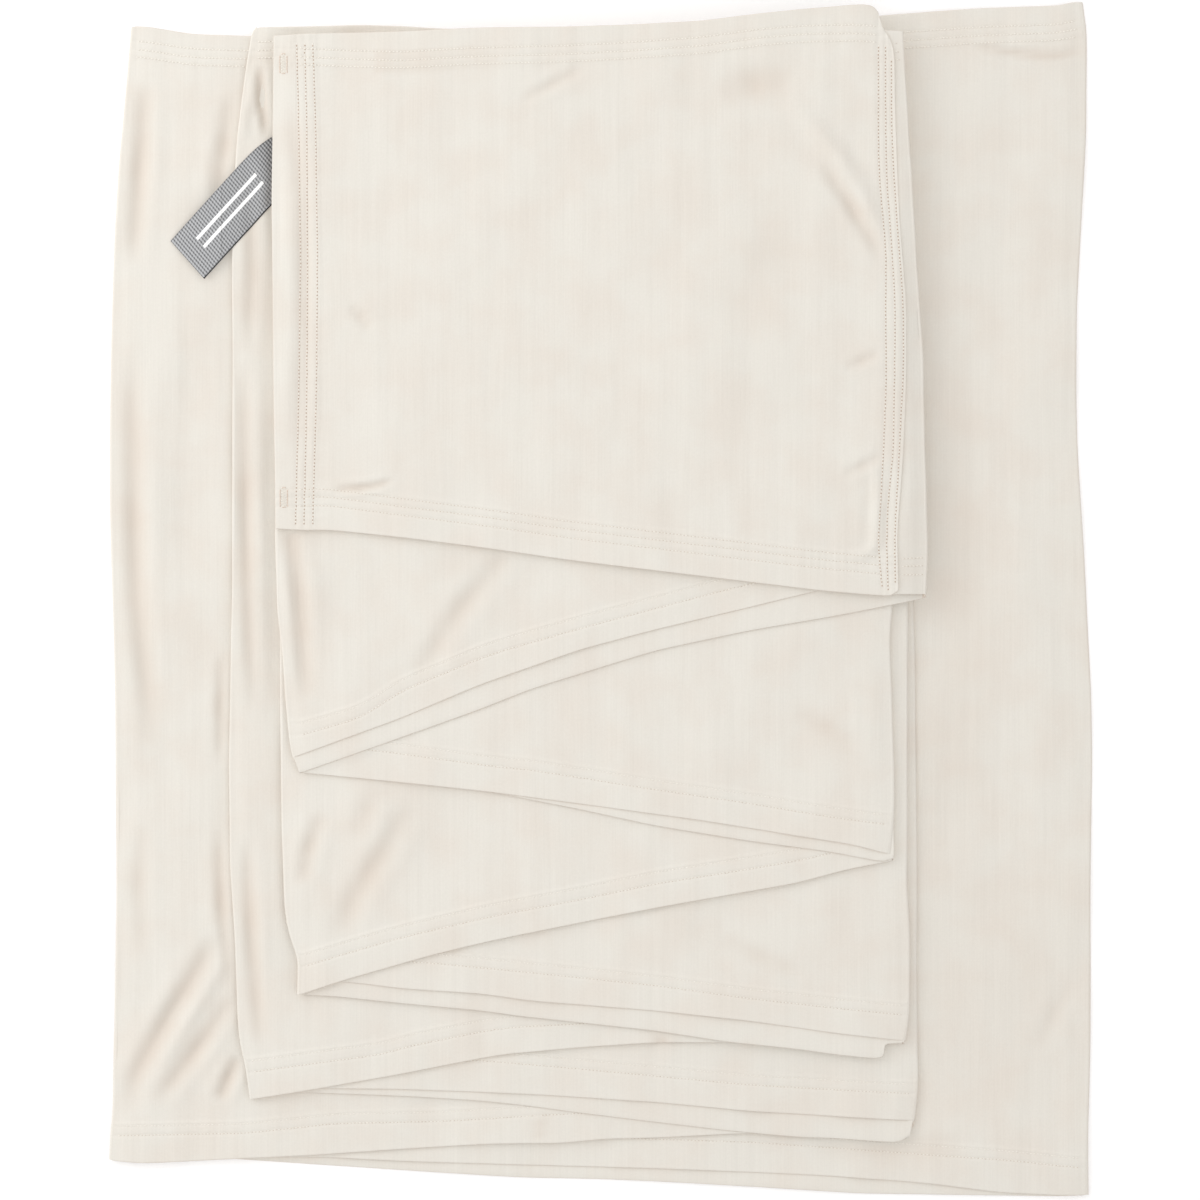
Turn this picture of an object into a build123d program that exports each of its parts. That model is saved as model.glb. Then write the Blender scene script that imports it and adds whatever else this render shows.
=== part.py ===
from build123d import *
import os

# Stretchy baby wrap sling, folded for storage: one long strip of cream knit jersey, folded end to end
# (so every leaf of the bundle is two plies thick) and then back and forth into nine leaves, with a
# pouch panel sewn over the top leaf and a folded ribbon label sewn under the left edge.
# Millimetres, +Z up. The bundle lies on the plane Z = 0, its origin under the middle of its box;
# +Y runs across the cloth's width, towards the even, straight edge.

# ---- driving dimensions ------------------------------------------------------------------------
LEAVES = 9                 # leaves of the accordion fold, 1 on top
PLY_T = 0.6                # cloth thickness
PLY_GAP = 0.1              # between the two plies of one leaf
LEAF_GAP = 0.5             # between one leaf and the next
LABEL_ROOM = 0.7           # extra room over leaf 6, where the ribbon label is sewn on
THREAD_W = 0.5             # width of a stitched row
THREAD_H = 0.15            # height that a stitched row stands above the cloth
TOP_ROW_STEPS = (0.0, 3.8, 7.2)    # the three rows of the upper hem
LOW_ROW_STEPS = (0.0, 4.2)         # the two rows of the lower hem
LABEL_T = 0.7              # folded ribbon, two layers
LABEL_LAYER = 0.3          # one layer of ribbon
LABEL_TILT = 7.5           # degrees that the free end slopes down, off leaf 6 and on to leaf 8
LABEL_HINGE_X = -170.55    # line about which the free end lifts
BARTACK = (4.2, 9.4, 0.5)  # length across, length along the mouth, height

# Outline of each leaf's upper ply, clockwise from its top left corner.
UPPER = {
    1: [(-145.58, 251.1), (-89.78, 252.45), (-55.58, 253.8), (-16.43, 254.25), (45.23, 254.93), (127.12, 255.38),
        (136.58, 255.15), (136.58, 250.65), (138.38, 224.1), (141.08, 178.2), (145.58, 109.35), (146.93, 53.1),
        (147.83, 18.45), (146.93, 2.7), (136.58, 2.93), (130.28, 2.48), (98.78, 5.4), (56.02, 10.58),
        (-12.83, 18.9), (-53.77, 24.75), (-89.78, 29.25), (-123.53, 32.85), (-130.28, 32.18), (-145.58, 33.08),
        (-145.12, 63), (-145.58, 90), (-146.25, 179.1), (-146.03, 210.15)],
    2: [(-144.22, 250.2), (-89.78, 251.55), (-16.43, 253.35), (45.23, 253.8), (135.22, 253.35), (135.68, 243),
        (137.47, 220.5), (140.18, 175.5), (144.68, 108), (146.03, 53.1), (146.93, 18.45), (146.47, 1.35),
        (146.03, 12.6), (126.23, 9.9), (98.78, 4.5), (67.73, -3.15), (24.98, -13.05), (-9.22, -22.05),
        (-55.58, -38.25), (-89.78, -52.65), (-136.12, -69.3), (-138.38, -70.2), (-136.12, -76.95), (-139.72, -67.5),
        (-141.97, -38.7), (-143.33, -21.6), (-145.58, -4.5), (-146.25, 30.15), (-145.58, 90), (-145.8, 179.1),
        (-145.12, 225)],
    3: [(-143.78, 249.3), (-89.78, 250.65), (-16.43, 252.45), (45.23, 252.9), (131.62, 252), (132.08, 216),
        (132.08, -0.9), (130.72, -15.75), (131.62, -50.4), (132.53, -73.35), (132.75, -97.2), (133.43, -112.5),
        (130.72, -113.85), (115.88, -109.8), (90.23, -105.75), (47.93, -99), (-9.22, -91.35), (-49.73, -85.95),
        (-84.38, -82.35), (-134.78, -77.4), (-135.22, -76.5), (-138.83, -67.5), (-141.08, -38.7), (-142.43, -21.6),
        (-144.68, -4.5), (-145.58, 30.15), (-145.12, 90), (-145.35, 179.1), (-144.68, 225)],
    4: [(-143.33, 248.85), (-89.78, 250.2), (-16.43, 251.55), (45.23, 252), (131.18, 251.1), (131.62, 216),
        (131.62, -0.9), (130.28, -15.75), (131.18, -50.4), (132.08, -73.35), (132.3, -97.2), (132.75, -116.1),
        (132.75, -117), (111.83, -121.05), (90.23, -126.9), (24.98, -138.15), (-9.22, -144.9), (-49.73, -153),
        (-78.53, -159.75), (-84.38, -161.55), (-119.03, -171.45), (-136.58, -177.3), (-136.12, -159.3),
        (-139.72, -152.55), (-141.97, -140.85), (-143.55, -106.2), (-144, -72), (-144.45, 30.15), (-144.68, 90),
        (-144.9, 179.1), (-144.22, 225)],
    5: [(-142.88, 248.4), (-89.78, 249.75), (-16.43, 251.1), (45.23, 251.55), (133.88, 250.2), (136.12, 220.5),
        (138.83, 175.5), (139.28, 90), (138.83, -2.25), (138.83, -45), (138.83, -90), (138.38, -126.45),
        (139.72, -147.6), (139.95, -185.4), (138.38, -196.2), (137.93, -198), (105.53, -194.4), (90.23, -192.15),
        (67.73, -189), (24.98, -184.5), (-32.18, -180), (-53.77, -176.85), (-89.78, -174.6), (-110.92, -171.9),
        (-135.22, -170.1), (-135.22, -159.3), (-138.83, -152.55), (-141.08, -140.85), (-142.88, -106.2),
        (-143.33, -72), (-143.78, 30.15), (-144.22, 90), (-144.45, 179.1), (-143.78, 225)],
    6: [(-155.7, 257.4), (-130.28, 257.85), (-107.33, 258.53), (-87.08, 257.85), (-78.53, 257.13), (-58.73, 256.5),
        (-16.43, 255.15), (45.23, 256.05), (117.23, 256.5), (134.33, 252.9), (135.68, 220.5), (138.38, 175.5),
        (138.83, 90), (138.38, -2.25), (138.38, -45), (138.38, -90), (137.93, -126.45), (139.28, -147.6),
        (139.5, -185.4), (137.93, -198), (137.47, -199.8), (90.23, -199.35), (57.38, -198.9), (24.98, -198.9),
        (-9.22, -201.15), (-43.88, -204.3), (-60.98, -207.45), (-96.08, -214.2), (-130.28, -220.05),
        (-158.18, -224.55), (-160.43, -208.35), (-163.12, -198), (-164.93, -153), (-167.18, -117.9), (-167.4, -72),
        (-166.28, 0), (-165.83, 90), (-166.28, 155.25), (-164.03, 207), (-160.43, 235.8), (-157.28, 256.5)],
    7: [(-154.58, 256.05), (-130.28, 256.5), (-87.08, 256.5), (-58.73, 255.15), (-16.43, 253.8), (45.23, 254.25),
        (134.78, 252), (137.03, 224.1), (139.72, 178.2), (140.62, 109.35), (141.08, 53.1), (141.53, 0),
        (142.43, -45), (143.33, -112.5), (142.88, -160.2), (143.33, -198.45), (144.22, -217.35), (142.43, -232.65),
        (141.97, -234.27), (105.53, -232.2), (90.23, -231.3), (67.73, -229.95), (24.98, -225.9), (-32.18, -222.3),
        (-89.78, -220.05), (-136.12, -219.6), (-157.28, -221.4), (-159.08, -208.35), (-161.78, -198),
        (-164.03, -153), (-166.28, -117.9), (-166.5, -72), (-165.38, 0), (-164.93, 90), (-165.38, 155.25),
        (-163.12, 207), (-159.53, 235.8), (-156.38, 254.7)],
    8: [(-211.95, 258.3), (-204.08, 257.85), (-185.62, 254.7), (-159.08, 253.8), (-89.78, 252.9), (45.23, 253.8),
        (134.33, 251.55), (136.58, 224.1), (139.28, 178.2), (140.18, 109.35), (140.62, 53.1), (141.08, 0),
        (141.97, -45), (142.88, -112.5), (142.43, -160.2), (142.88, -198.45), (143.78, -217.35), (141.97, -233.55),
        (141.08, -238.05), (99.23, -239.4), (59.62, -240.3), (27.23, -242.1), (1.57, -242.55), (-19.12, -244.8),
        (-26.78, -244.53), (-49.73, -244.8), (-87.98, -247.05), (-130.72, -249.97), (-161.78, -251.37),
        (-191.03, -252.9), (-208.58, -253.58), (-221.76, -252.45), (-220.91, -237.15), (-220, -232.65),
        (-219.06, -175.5), (-218.47, -140.85), (-218.47, -81), (-218.93, -38.7), (-220, -4.5), (-221.18, 41.85),
        (-220.91, 109.35), (-219.38, 161.1), (-216.68, 201.15), (-213.08, 241.2)],
    9: [(-210.83, 256.5), (-185.62, 253.35), (-159.08, 252.45), (-89.78, 252), (45.23, 252.9), (99.23, 259.2),
        (126.23, 263.25), (148.28, 264.82), (171.22, 266.53), (209.03, 267.75), (213.53, 269.1), (217.58, 269.55),
        (219.38, 256.05), (219.38, 212.4), (217.12, 166.5), (214.88, 132.3), (214.65, 90), (215.33, 70.2),
        (217.58, 36), (219.38, 1.35), (221.18, -38.7), (222.08, -72), (221.62, -103.5), (221.18, -147.6),
        (221.18, -198.45), (220.28, -236.25), (220.5, -268.2), (209.03, -268.2), (181.58, -266.85),
        (149.62, -262.8), (104.62, -259.43), (60.08, -257.4), (27.23, -256.05), (-27.68, -254.7), (-87.98, -252.9),
        (-122.17, -251.1), (-159.97, -250.88), (-191.03, -251.55), (-220.72, -250.65), (-220, -237.15),
        (-219.1, -232.65), (-218.16, -175.5), (-217.58, -140.85), (-217.58, -81), (-218.03, -38.7), (-219.1, -4.5),
        (-220.28, 41.85), (-220, 109.35), (-218.47, 161.1), (-215.78, 201.15), (-212.18, 240.3)],
}

# Outline of each leaf's lower ply.
LOWER = {
    1: [(-145.03, 250.43), (-89.78, 251.78), (-55.58, 253.12), (-16.43, 253.58), (45.23, 254.25), (127.12, 254.7),
        (136.03, 254.47), (136.03, 250.65), (137.83, 224.1), (140.53, 178.2), (145.03, 109.35), (146.38, 53.1),
        (147.28, 18.45), (136.58, 4.5), (98.78, 7.2), (56.02, 12.6), (-12.83, 21.15), (-53.77, 26.55),
        (-89.78, 31.05), (-123.53, 34.2), (-145.12, 34.65), (-144.59, 63), (-145.03, 90), (-145.71, 179.1),
        (-145.49, 210.15)],
    2: [(-143.69, 249.53), (-89.78, 250.88), (-16.43, 252.68), (45.23, 253.12), (134.68, 252.68), (135.13, 243),
        (136.93, 220.5), (139.63, 175.5), (144.13, 108), (145.48, 53.1), (146.38, 18.45), (145.93, 1.35),
        (146.47, 0.9), (132.08, -2.02), (107.78, -6.75), (67.73, -13.5), (24.98, -22.5), (-32.18, -40.05),
        (-53.77, -48.6), (-96.08, -63.45), (-136.12, -77.4), (-139.19, -67.5), (-141.44, -38.7), (-142.78, -21.6),
        (-145.03, -4.5), (-145.71, 30.15), (-145.03, 90), (-145.26, 179.1), (-144.59, 225)],
    3: [(-143.24, 248.62), (-89.78, 249.97), (-16.43, 251.78), (45.23, 252.22), (131.08, 251.33), (131.53, 216),
        (131.53, -0.9), (130.18, -15.75), (131.08, -50.4), (131.98, -73.35), (132.21, -97.2), (132.88, -112.5),
        (132.75, -116.1), (128.47, -117.45), (105.53, -112.95), (67.73, -108), (24.98, -101.25), (-9.22, -93.83),
        (-49.73, -85.95), (-84.38, -81.9), (-134.33, -76.95), (-138.28, -67.5), (-140.53, -38.7), (-141.89, -21.6),
        (-144.14, -4.5), (-145.03, 30.15), (-144.59, 90), (-144.81, 179.1), (-144.14, 225)],
    4: [(-142.78, 248.18), (-89.78, 249.53), (-16.43, 250.88), (45.23, 251.33), (130.63, 250.43), (131.08, 216),
        (131.08, -0.9), (129.73, -15.75), (130.63, -50.4), (131.53, -73.35), (131.76, -97.2), (132.3, -115.65),
        (111.83, -119.7), (90.23, -125.55), (24.98, -136.8), (-9.22, -143.55), (-49.73, -151.65), (-78.53, -158.4),
        (-119.03, -170.1), (-135.22, -175.5), (-135.59, -159.3), (-139.19, -152.55), (-141.44, -140.85),
        (-143.01, -106.2), (-143.46, -72), (-143.91, 30.15), (-144.14, 90), (-144.36, 179.1), (-143.69, 225)],
    5: [(-142.34, 247.72), (-89.78, 249.08), (-16.43, 250.43), (45.23, 250.88), (133.33, 249.53), (135.58, 220.5),
        (138.28, 175.5), (138.73, 90), (138.28, -2.25), (138.28, -45), (138.28, -90), (137.83, -126.45),
        (139.18, -147.6), (139.41, -185.4), (137.83, -196.2), (137.93, -198.9), (128.93, -203.4), (123.08, -205.2),
        (105.53, -203.4), (90.23, -201.6), (56.93, -198.45), (24.98, -193.5), (-38.02, -186.75), (-53.77, -184.5),
        (-89.78, -181.35), (-119.03, -178.2), (-135.68, -177.3), (-134.69, -159.3), (-138.28, -152.55),
        (-140.53, -140.85), (-142.34, -106.2), (-142.78, -72), (-143.24, 30.15), (-143.69, 90), (-143.91, 179.1),
        (-143.24, 225)],
    6: [(-155.16, 256.73), (-130.28, 257.18), (-107.33, 257.85), (-87.08, 257.18), (-78.53, 256.45),
        (-58.73, 255.83), (-16.43, 254.47), (45.23, 255.38), (117.23, 255.83), (133.78, 252.22), (135.13, 220.5),
        (137.83, 175.5), (138.28, 90), (137.83, -2.25), (137.83, -45), (137.83, -90), (137.38, -126.45),
        (138.73, -147.6), (138.96, -185.4), (137.38, -198), (137.47, -198.45), (90.23, -198), (57.38, -197.55),
        (24.98, -197.55), (-9.22, -199.8), (-43.88, -202.95), (-60.98, -206.1), (-96.08, -212.85),
        (-130.28, -218.7), (-157.28, -223.2), (-159.89, -208.35), (-162.59, -198), (-164.39, -153),
        (-166.64, -117.9), (-166.86, -72), (-165.74, 0), (-165.28, 90), (-165.74, 155.25), (-163.49, 207),
        (-159.89, 235.8), (-156.74, 256.5)],
    7: [(-154.03, 255.38), (-130.28, 255.83), (-87.08, 255.83), (-58.73, 254.47), (-16.43, 253.12), (45.23, 253.58),
        (134.23, 251.33), (136.48, 224.1), (139.18, 178.2), (140.08, 109.35), (140.53, 53.1), (140.98, 0),
        (141.88, -45), (142.78, -112.5), (142.33, -160.2), (142.78, -198.45), (143.68, -217.35), (141.88, -232.65),
        (140.62, -241.65), (135.68, -244.35), (105.53, -242.1), (90.23, -241.65), (59.62, -238.95), (24.98, -234.9),
        (-9.22, -230.85), (-32.18, -227.7), (-53.77, -225.45), (-89.78, -223.2), (-141.97, -221.4),
        (-157.28, -223.2), (-158.53, -208.35), (-161.24, -198), (-163.49, -153), (-165.74, -117.9), (-165.96, -72),
        (-164.84, 0), (-164.39, 90), (-164.84, 155.25), (-162.59, 207), (-158.99, 235.8), (-155.84, 254.7)],
    8: [(-211.41, 257.62), (-204.08, 257.18), (-185.62, 254.03), (-159.08, 253.12), (-89.78, 252.22),
        (45.23, 253.12), (133.78, 250.88), (136.03, 224.1), (138.73, 178.2), (139.63, 109.35), (140.08, 53.1),
        (140.53, 0), (141.43, -45), (142.33, -112.5), (141.88, -160.2), (142.33, -198.45), (143.23, -217.35),
        (141.43, -233.55), (99.23, -238.05), (59.62, -238.95), (27.23, -240.75), (1.57, -241.2), (-19.12, -243.45),
        (-26.78, -243.18), (-49.73, -243.45), (-87.98, -245.7), (-130.72, -248.4), (-161.78, -249.75),
        (-191.03, -251.1), (-208.58, -252), (-220.95, -250.65), (-220.37, -237.15), (-219.47, -232.65),
        (-218.52, -175.5), (-217.94, -140.85), (-217.94, -81), (-218.39, -38.7), (-219.47, -4.5), (-220.64, 41.85),
        (-220.37, 109.35), (-218.84, 161.1), (-216.14, 201.15), (-212.53, 241.2)],
    9: [(-210.28, 255.83), (-185.62, 252.68), (-159.08, 251.78), (-89.78, 251.33), (45.23, 252.22), (99.23, 258.53),
        (126.23, 262.57), (148.28, 264.15), (171.22, 265.86), (209.03, 267.07), (213.53, 268.43), (217.58, 268.88),
        (219.38, 256.05), (219.38, 212.4), (217.12, 166.5), (214.88, 132.3), (214.65, 90), (215.33, 70.2),
        (217.58, 36), (219.38, 1.35), (221.18, -38.7), (222.08, -72), (221.62, -103.5), (221.18, -147.6),
        (221.18, -198.45), (220.28, -236.25), (220.5, -268.2), (209.03, -268.65), (118.12, -267.3), (74.92, -264.6),
        (27.23, -261.9), (0.23, -260.78), (-36.23, -260.1), (-87.98, -256.95), (-159.97, -252.22),
        (-191.03, -250.2), (-220.28, -249.3), (-219.47, -237.15), (-218.56, -232.65), (-217.62, -175.5),
        (-217.03, -140.85), (-217.03, -81), (-217.49, -38.7), (-218.56, -4.5), (-219.74, 41.85), (-219.47, 109.35),
        (-217.94, 161.1), (-215.24, 201.15), (-211.64, 240.3)],
}

# The pouch panel sewn on leaf 1.
POCKET = [(-146.47, 252.9), (-132.97, 253.8), (-89.78, 254.7), (-55.58, 256.5), (-16.43, 256.95), (13.72, 257.85),
        (45.68, 259.65), (67.73, 262.35), (90.23, 264.82), (118.12, 267.12), (122.62, 266.4), (124.88, 263.25),
        (126.67, 256.5), (132.08, 249.3), (132.53, 218.25), (134.33, 172.35), (137.47, 132.3), (137.47, 97.65),
        (136.12, 64.8), (133.43, 30.15), (133.88, 4.5), (130.28, 1.8), (98.78, 4.5), (56.02, 9.68), (-12.83, 18),
        (-53.77, 23.85), (-89.78, 28.35), (-123.53, 31.95), (-130.28, 31.28), (-145.58, 32.18), (-146.03, 63),
        (-146.47, 90), (-147.38, 179.1), (-146.93, 210.15)]

# First row of the stitching along each leaf's lower hem, left to right.
LOW_ROW = {
    1: [(-135.22, 49.5), (-123.53, 49.95), (-89.78, 45.45), (-53.77, 40.95), (-12.83, 35.1), (56.02, 26.78),
        (98.78, 21.6), (126.23, 19.12)],
    2: [(-134.33, -55.35), (-107.33, -47.7), (-89.78, -36), (-49.73, -19.35), (-9.22, -7.65), (24.98, 1.35),
        (53.77, 9), (90.23, 18), (143.78, 30.15)],
    3: [(-132.53, -60.3), (-96.98, -63.9), (-43.88, -71.1), (-32.18, -72), (24.98, -81), (67.73, -87.3),
        (105.53, -93.6), (130.28, -96.75)],
    4: [(-133.88, -159.75), (-107.33, -151.65), (-89.78, -146.7), (-49.73, -137.25), (-9.22, -129.6),
        (24.98, -122.4), (67.73, -115.65), (92.92, -111.15), (130.28, -102.15)],
    5: [(-133.88, -155.25), (-72.67, -159.3), (-32.18, -163.35), (24.98, -169.2), (67.73, -175.05),
        (105.53, -179.33), (137.03, -182.47)],
    6: [(-159.53, -207.9), (-130.28, -203.85), (-96.08, -199.35), (-89.78, -196.65), (-53.77, -189.45),
        (-38.02, -187.2), (0.23, -185.4), (45.23, -184.05), (136.12, -183.6)],
    7: [(-156.38, -200.7), (-89.78, -201.6), (-46.12, -203.85), (-9.22, -207), (24.98, -210.15), (67.73, -214.2),
        (105.53, -216.45), (141.53, -218.25)],
    8: [(-218.03, -237.15), (-161.78, -236.25), (-130.28, -233.1), (-122.17, -231.75), (-70.42, -230.85),
        (-29.48, -228.15), (27.23, -225.45), (90.23, -223.65), (140.18, -222.3)],
    9: [(-216.68, -234.9), (-134.78, -235.35), (-27.68, -237.15), (69.08, -240.3), (143.33, -245.7),
        (181.58, -248.18), (218.93, -252)],
}

# First row of the stitching along each leaf's upper hem, left to right.
TOP_ROW = {
    1: [(-134.78, 247.5), (-128.03, 247.05), (-89.78, 245.7), (-55.58, 247.72), (-16.43, 248.62), (13.72, 250.2),
        (45.68, 252.45), (67.73, 255.6), (90.23, 257.62), (118.12, 258.07), (124.42, 257.18)],
    2: [(-142.88, 243.9), (-89.78, 245.25), (-16.43, 247.05), (45.23, 247.5), (133.43, 247.05)],
    3: [(-142.43, 243), (-89.78, 244.35), (-16.43, 246.15), (45.23, 246.6), (129.83, 245.7)],
    4: [(-141.97, 242.55), (-89.78, 243.9), (-16.43, 245.25), (45.23, 245.7), (129.38, 244.8)],
    5: [(-141.53, 242.1), (-89.78, 243.45), (-16.43, 244.8), (45.23, 245.25), (132.08, 243.9)],
    6: [(-154.35, 251.1), (-130.28, 251.55), (-107.33, 252.22), (-87.08, 251.55), (-78.53, 250.83), (-58.73, 250.2),
        (-16.43, 248.85), (45.23, 249.75), (117.23, 250.2), (132.53, 246.6)],
    7: [(-153.22, 249.75), (-130.28, 250.2), (-87.08, 250.2), (-58.73, 248.85), (-16.43, 247.5), (45.23, 247.95),
        (132.97, 245.7)],
    8: [(-210.6, 252), (-204.08, 251.55), (-185.62, 248.4), (-159.08, 247.5), (-89.78, 246.6), (45.23, 247.5),
        (132.53, 245.25)],
    9: [(-209.47, 248.4), (-185.62, 245.25), (-159.08, 244.35), (-89.78, 243.9), (45.23, 244.8), (99.23, 251.1),
        (126.23, 255.15), (148.28, 256.73), (171.22, 258.44), (209.03, 259.65), (213.53, 261), (215.78, 261.45)],
}

# The three rows at the pouch's mouth and at its closed end.
MOUTH_ROWS = [[(-136.12, 250.2), (-135.22, 216), (-134.33, 153), (-135.22, 90), (-136.58, 32.85)],
    [(-132.53, 250.2), (-131.62, 216), (-131.18, 153), (-131.62, 90), (-132.75, 32.85)],
    [(-128.93, 250.2), (-127.58, 216), (-126.67, 153), (-127.35, 90), (-128.93, 32.85)]]
END_ROWS = [[(124.88, 249.3), (124.88, 196.65), (126.23, 178.2), (128.47, 155.25), (128.03, 132.3), (128.47, 99),
        (127.58, 76.05), (126.23, 47.25), (124.42, 25.65), (126.67, 4.95)],
    [(128.03, 249.3), (128.03, 224.1), (128.47, 189.45), (130.28, 166.5), (132.53, 132.3), (131.62, 64.8),
        (128.93, 41.4), (128.47, 18.45), (129.38, 4.5)],
    [(130.72, 243), (130.72, 218.25), (131.18, 201.15), (132.97, 172.35), (136.12, 132.3), (136.12, 97.65),
        (135.22, 87.75), (134.33, 64.8), (132.08, 30.15), (132.53, 7.2)]]

# Two points of each fold's hinge line, just outside the folded cloth.
FOLD = {
    '1_2': [(140.98, 255.6), (149.27, 0)],
    '2_3': [(-149.4, 255.6), (-145.35, -77.4)],
    '3_4': [(133.88, 255.6), (134.1, -117)],
    '4_5': [(-148.05, 255.6), (-143.78, -177.3)],
    '5_6': [(140.53, 255.6), (140.53, -198.45)],
    '6_7': [(-166.95, 257.4), (-168.16, -224.55)],
    '7_8': [(144, 255.6), (144.9, -243)],
    '8_9': [(-221.45, 258.3), (-222.35, -253.35)],
}

# The ribbon label: sewn end, bend over the fold, free end.
LABEL_SEWN = [(-161.78, 197.51), (-141.4, 219.72), (-125.88, 201.49), (-161.78, 162.36)]
LABEL_BEND = [(-170.55, 187.94), (-161.78, 197.51), (-161.78, 162.36), (-170.55, 152.79)]
LABEL_FREE = [(-193.72, 162.68), (-170.55, 187.94), (-170.55, 152.79), (-178.2, 144.45)]
SLIT = [(-194.42, 165.22), (-153.36, 209.99), (-147.08, 175.07), (-175.98, 143.57)]
LABEL_SEAM = [(-142.67, 215.7), (-129.48, 200.21)]


# ---- heights -----------------------------------------------------------------------------------
LEAF_T = 2 * PLY_T + PLY_GAP


def leaf_z(k):
    """Height of the underside of leaf k."""
    z = (LEAVES - k) * (LEAF_T + LEAF_GAP)
    return z + (LABEL_ROOM if k <= 5 else 0.0)


def leaf_top(k):
    return leaf_z(k) + LEAF_T


POCKET_Z = leaf_top(1)
POCKET_TOP = POCKET_Z + PLY_T
LABEL_Z = leaf_top(6) + THREAD_H + 0.05


def band(row, width, step=0.0):
    """The outline of a narrow band along a row of points, moved down by step."""
    pts = [Vector(x, y - step) for x, y in row]
    one, two = [], []
    for i, p in enumerate(pts):
        d = (pts[min(i + 1, len(pts) - 1)] - pts[max(i - 1, 0)]).normalized()
        n = Vector(-d.Y, d.X) * (width / 2)
        one.append(((p + n).X, (p + n).Y))
        two.append(((p - n).X, (p - n).Y))
    return one + two[::-1]


def sheet(name, outline, z, t):
    """A flat ply of cloth."""
    with BuildPart() as ply:
        with BuildSketch(Plane.XY.offset(z)):
            with BuildLine():
                Polyline(*outline, close=True)
            make_face()
        extrude(amount=t)
    ply.part.label = name
    export_step(ply.part, f"parts/{name}.step")
    return ply.part


def rows(name, bands, z, t=THREAD_H):
    """Rows of stitching that stand on the cloth."""
    with BuildPart() as thread:
        for outline in bands:
            with BuildSketch(Plane.XY.offset(z)):
                with BuildLine():
                    Polyline(*outline, close=True)
                make_face()
            extrude(amount=t)
    thread.part.label = name
    export_step(thread.part, f"parts/{name}.step")
    return thread.part


os.makedirs("parts", exist_ok=True)

# ---- the cloth: nine leaves of two plies ---------------------------------------------------------
for k in range(1, LEAVES + 1):
    sheet(f"leaf_{k}_lower_ply", LOWER[k], leaf_z(k), PLY_T)
    sheet(f"leaf_{k}_upper_ply", UPPER[k], leaf_z(k) + PLY_T + PLY_GAP, PLY_T)

# ---- the pouch panel, sewn on leaf 1 along its top, its bottom and its right end ----------------
sheet("pouch_panel", POCKET, POCKET_Z, PLY_T)

# ---- stitching -------------------------------------------------------------------------------------
for k in range(1, LEAVES + 1):
    z = POCKET_TOP if k == 1 else leaf_top(k)
    bands = [band(TOP_ROW[k], THREAD_W, s) for s in TOP_ROW_STEPS]
    bands += [band(LOW_ROW[k], THREAD_W, s) for s in LOW_ROW_STEPS]
    rows(f"leaf_{k}_hem_stitching", bands, z)

# The rows at the pouch's mouth and closed end stop clear of the hem rows.
mouth = MOUTH_ROWS
rows("pouch_mouth_stitching", [band([(r[0][0], 238.4)] + r[1:-1] + [(r[-1][0], 52.0)], THREAD_W) for r in mouth], POCKET_TOP)
rows("pouch_end_stitching", [band([(r[0][0], 234.0 - 3 * i)] + r[1:-2] + [(r[-2][0], 30.0)], THREAD_W)
                             for i, r in enumerate(END_ROWS)], POCKET_TOP)

# ---- bartacks at the two corners of the pouch's mouth ----------------------------------------------
for name, x, y in (("bartack_upper", -142.0, 240.6), ("bartack_lower", -141.8, 46.0)):
    with BuildPart() as tack:
        with BuildSketch(Plane.XY.offset(POCKET_TOP)):
            with Locations((x, y)):
                SlotOverall(BARTACK[1], BARTACK[0], rotation=90)
        extrude(amount=BARTACK[2])
    tack.part.label = name
    export_step(tack.part, f"parts/{name}.step")

# ---- the ribbon label ----------------------------------------------------------------------------------
sheet("label_sewn_end", LABEL_SEWN, LABEL_Z, LABEL_T)
sheet("label_bend", LABEL_BEND, LABEL_Z, LABEL_T)

# The free end is the loop of the ribbon, its two layers lying on each other, and slopes down to leaf 8.
with BuildPart() as free_end:
    with BuildSketch(Plane.XY.offset(LABEL_Z)):
        with BuildLine():
            Polyline(*LABEL_FREE, close=True)
        make_face()
    extrude(amount=LABEL_T)
    with BuildSketch(Plane.XY.offset(LABEL_Z + LABEL_LAYER)):
        with BuildLine():
            Polyline(*SLIT, close=True)
        make_face()
    extrude(amount=LABEL_T - 2 * LABEL_LAYER, mode=Mode.SUBTRACT)
hinge = Axis((LABEL_HINGE_X, 0, LABEL_Z), (0, 1, 0))
free_part = free_end.part.rotate(hinge, -LABEL_TILT)
free_part.label = "label_free_end"
export_step(free_part, "parts/label_free_end.step")

# The seam that holds the label's two ends on leaf 6 stands in the room above the ribbon.
rows("label_stitching", [band(LABEL_SEAM, THREAD_W), band([(x - 3.0, y - 3.3) for x, y in LABEL_SEAM], THREAD_W)],
     LABEL_Z + LABEL_T)
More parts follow.
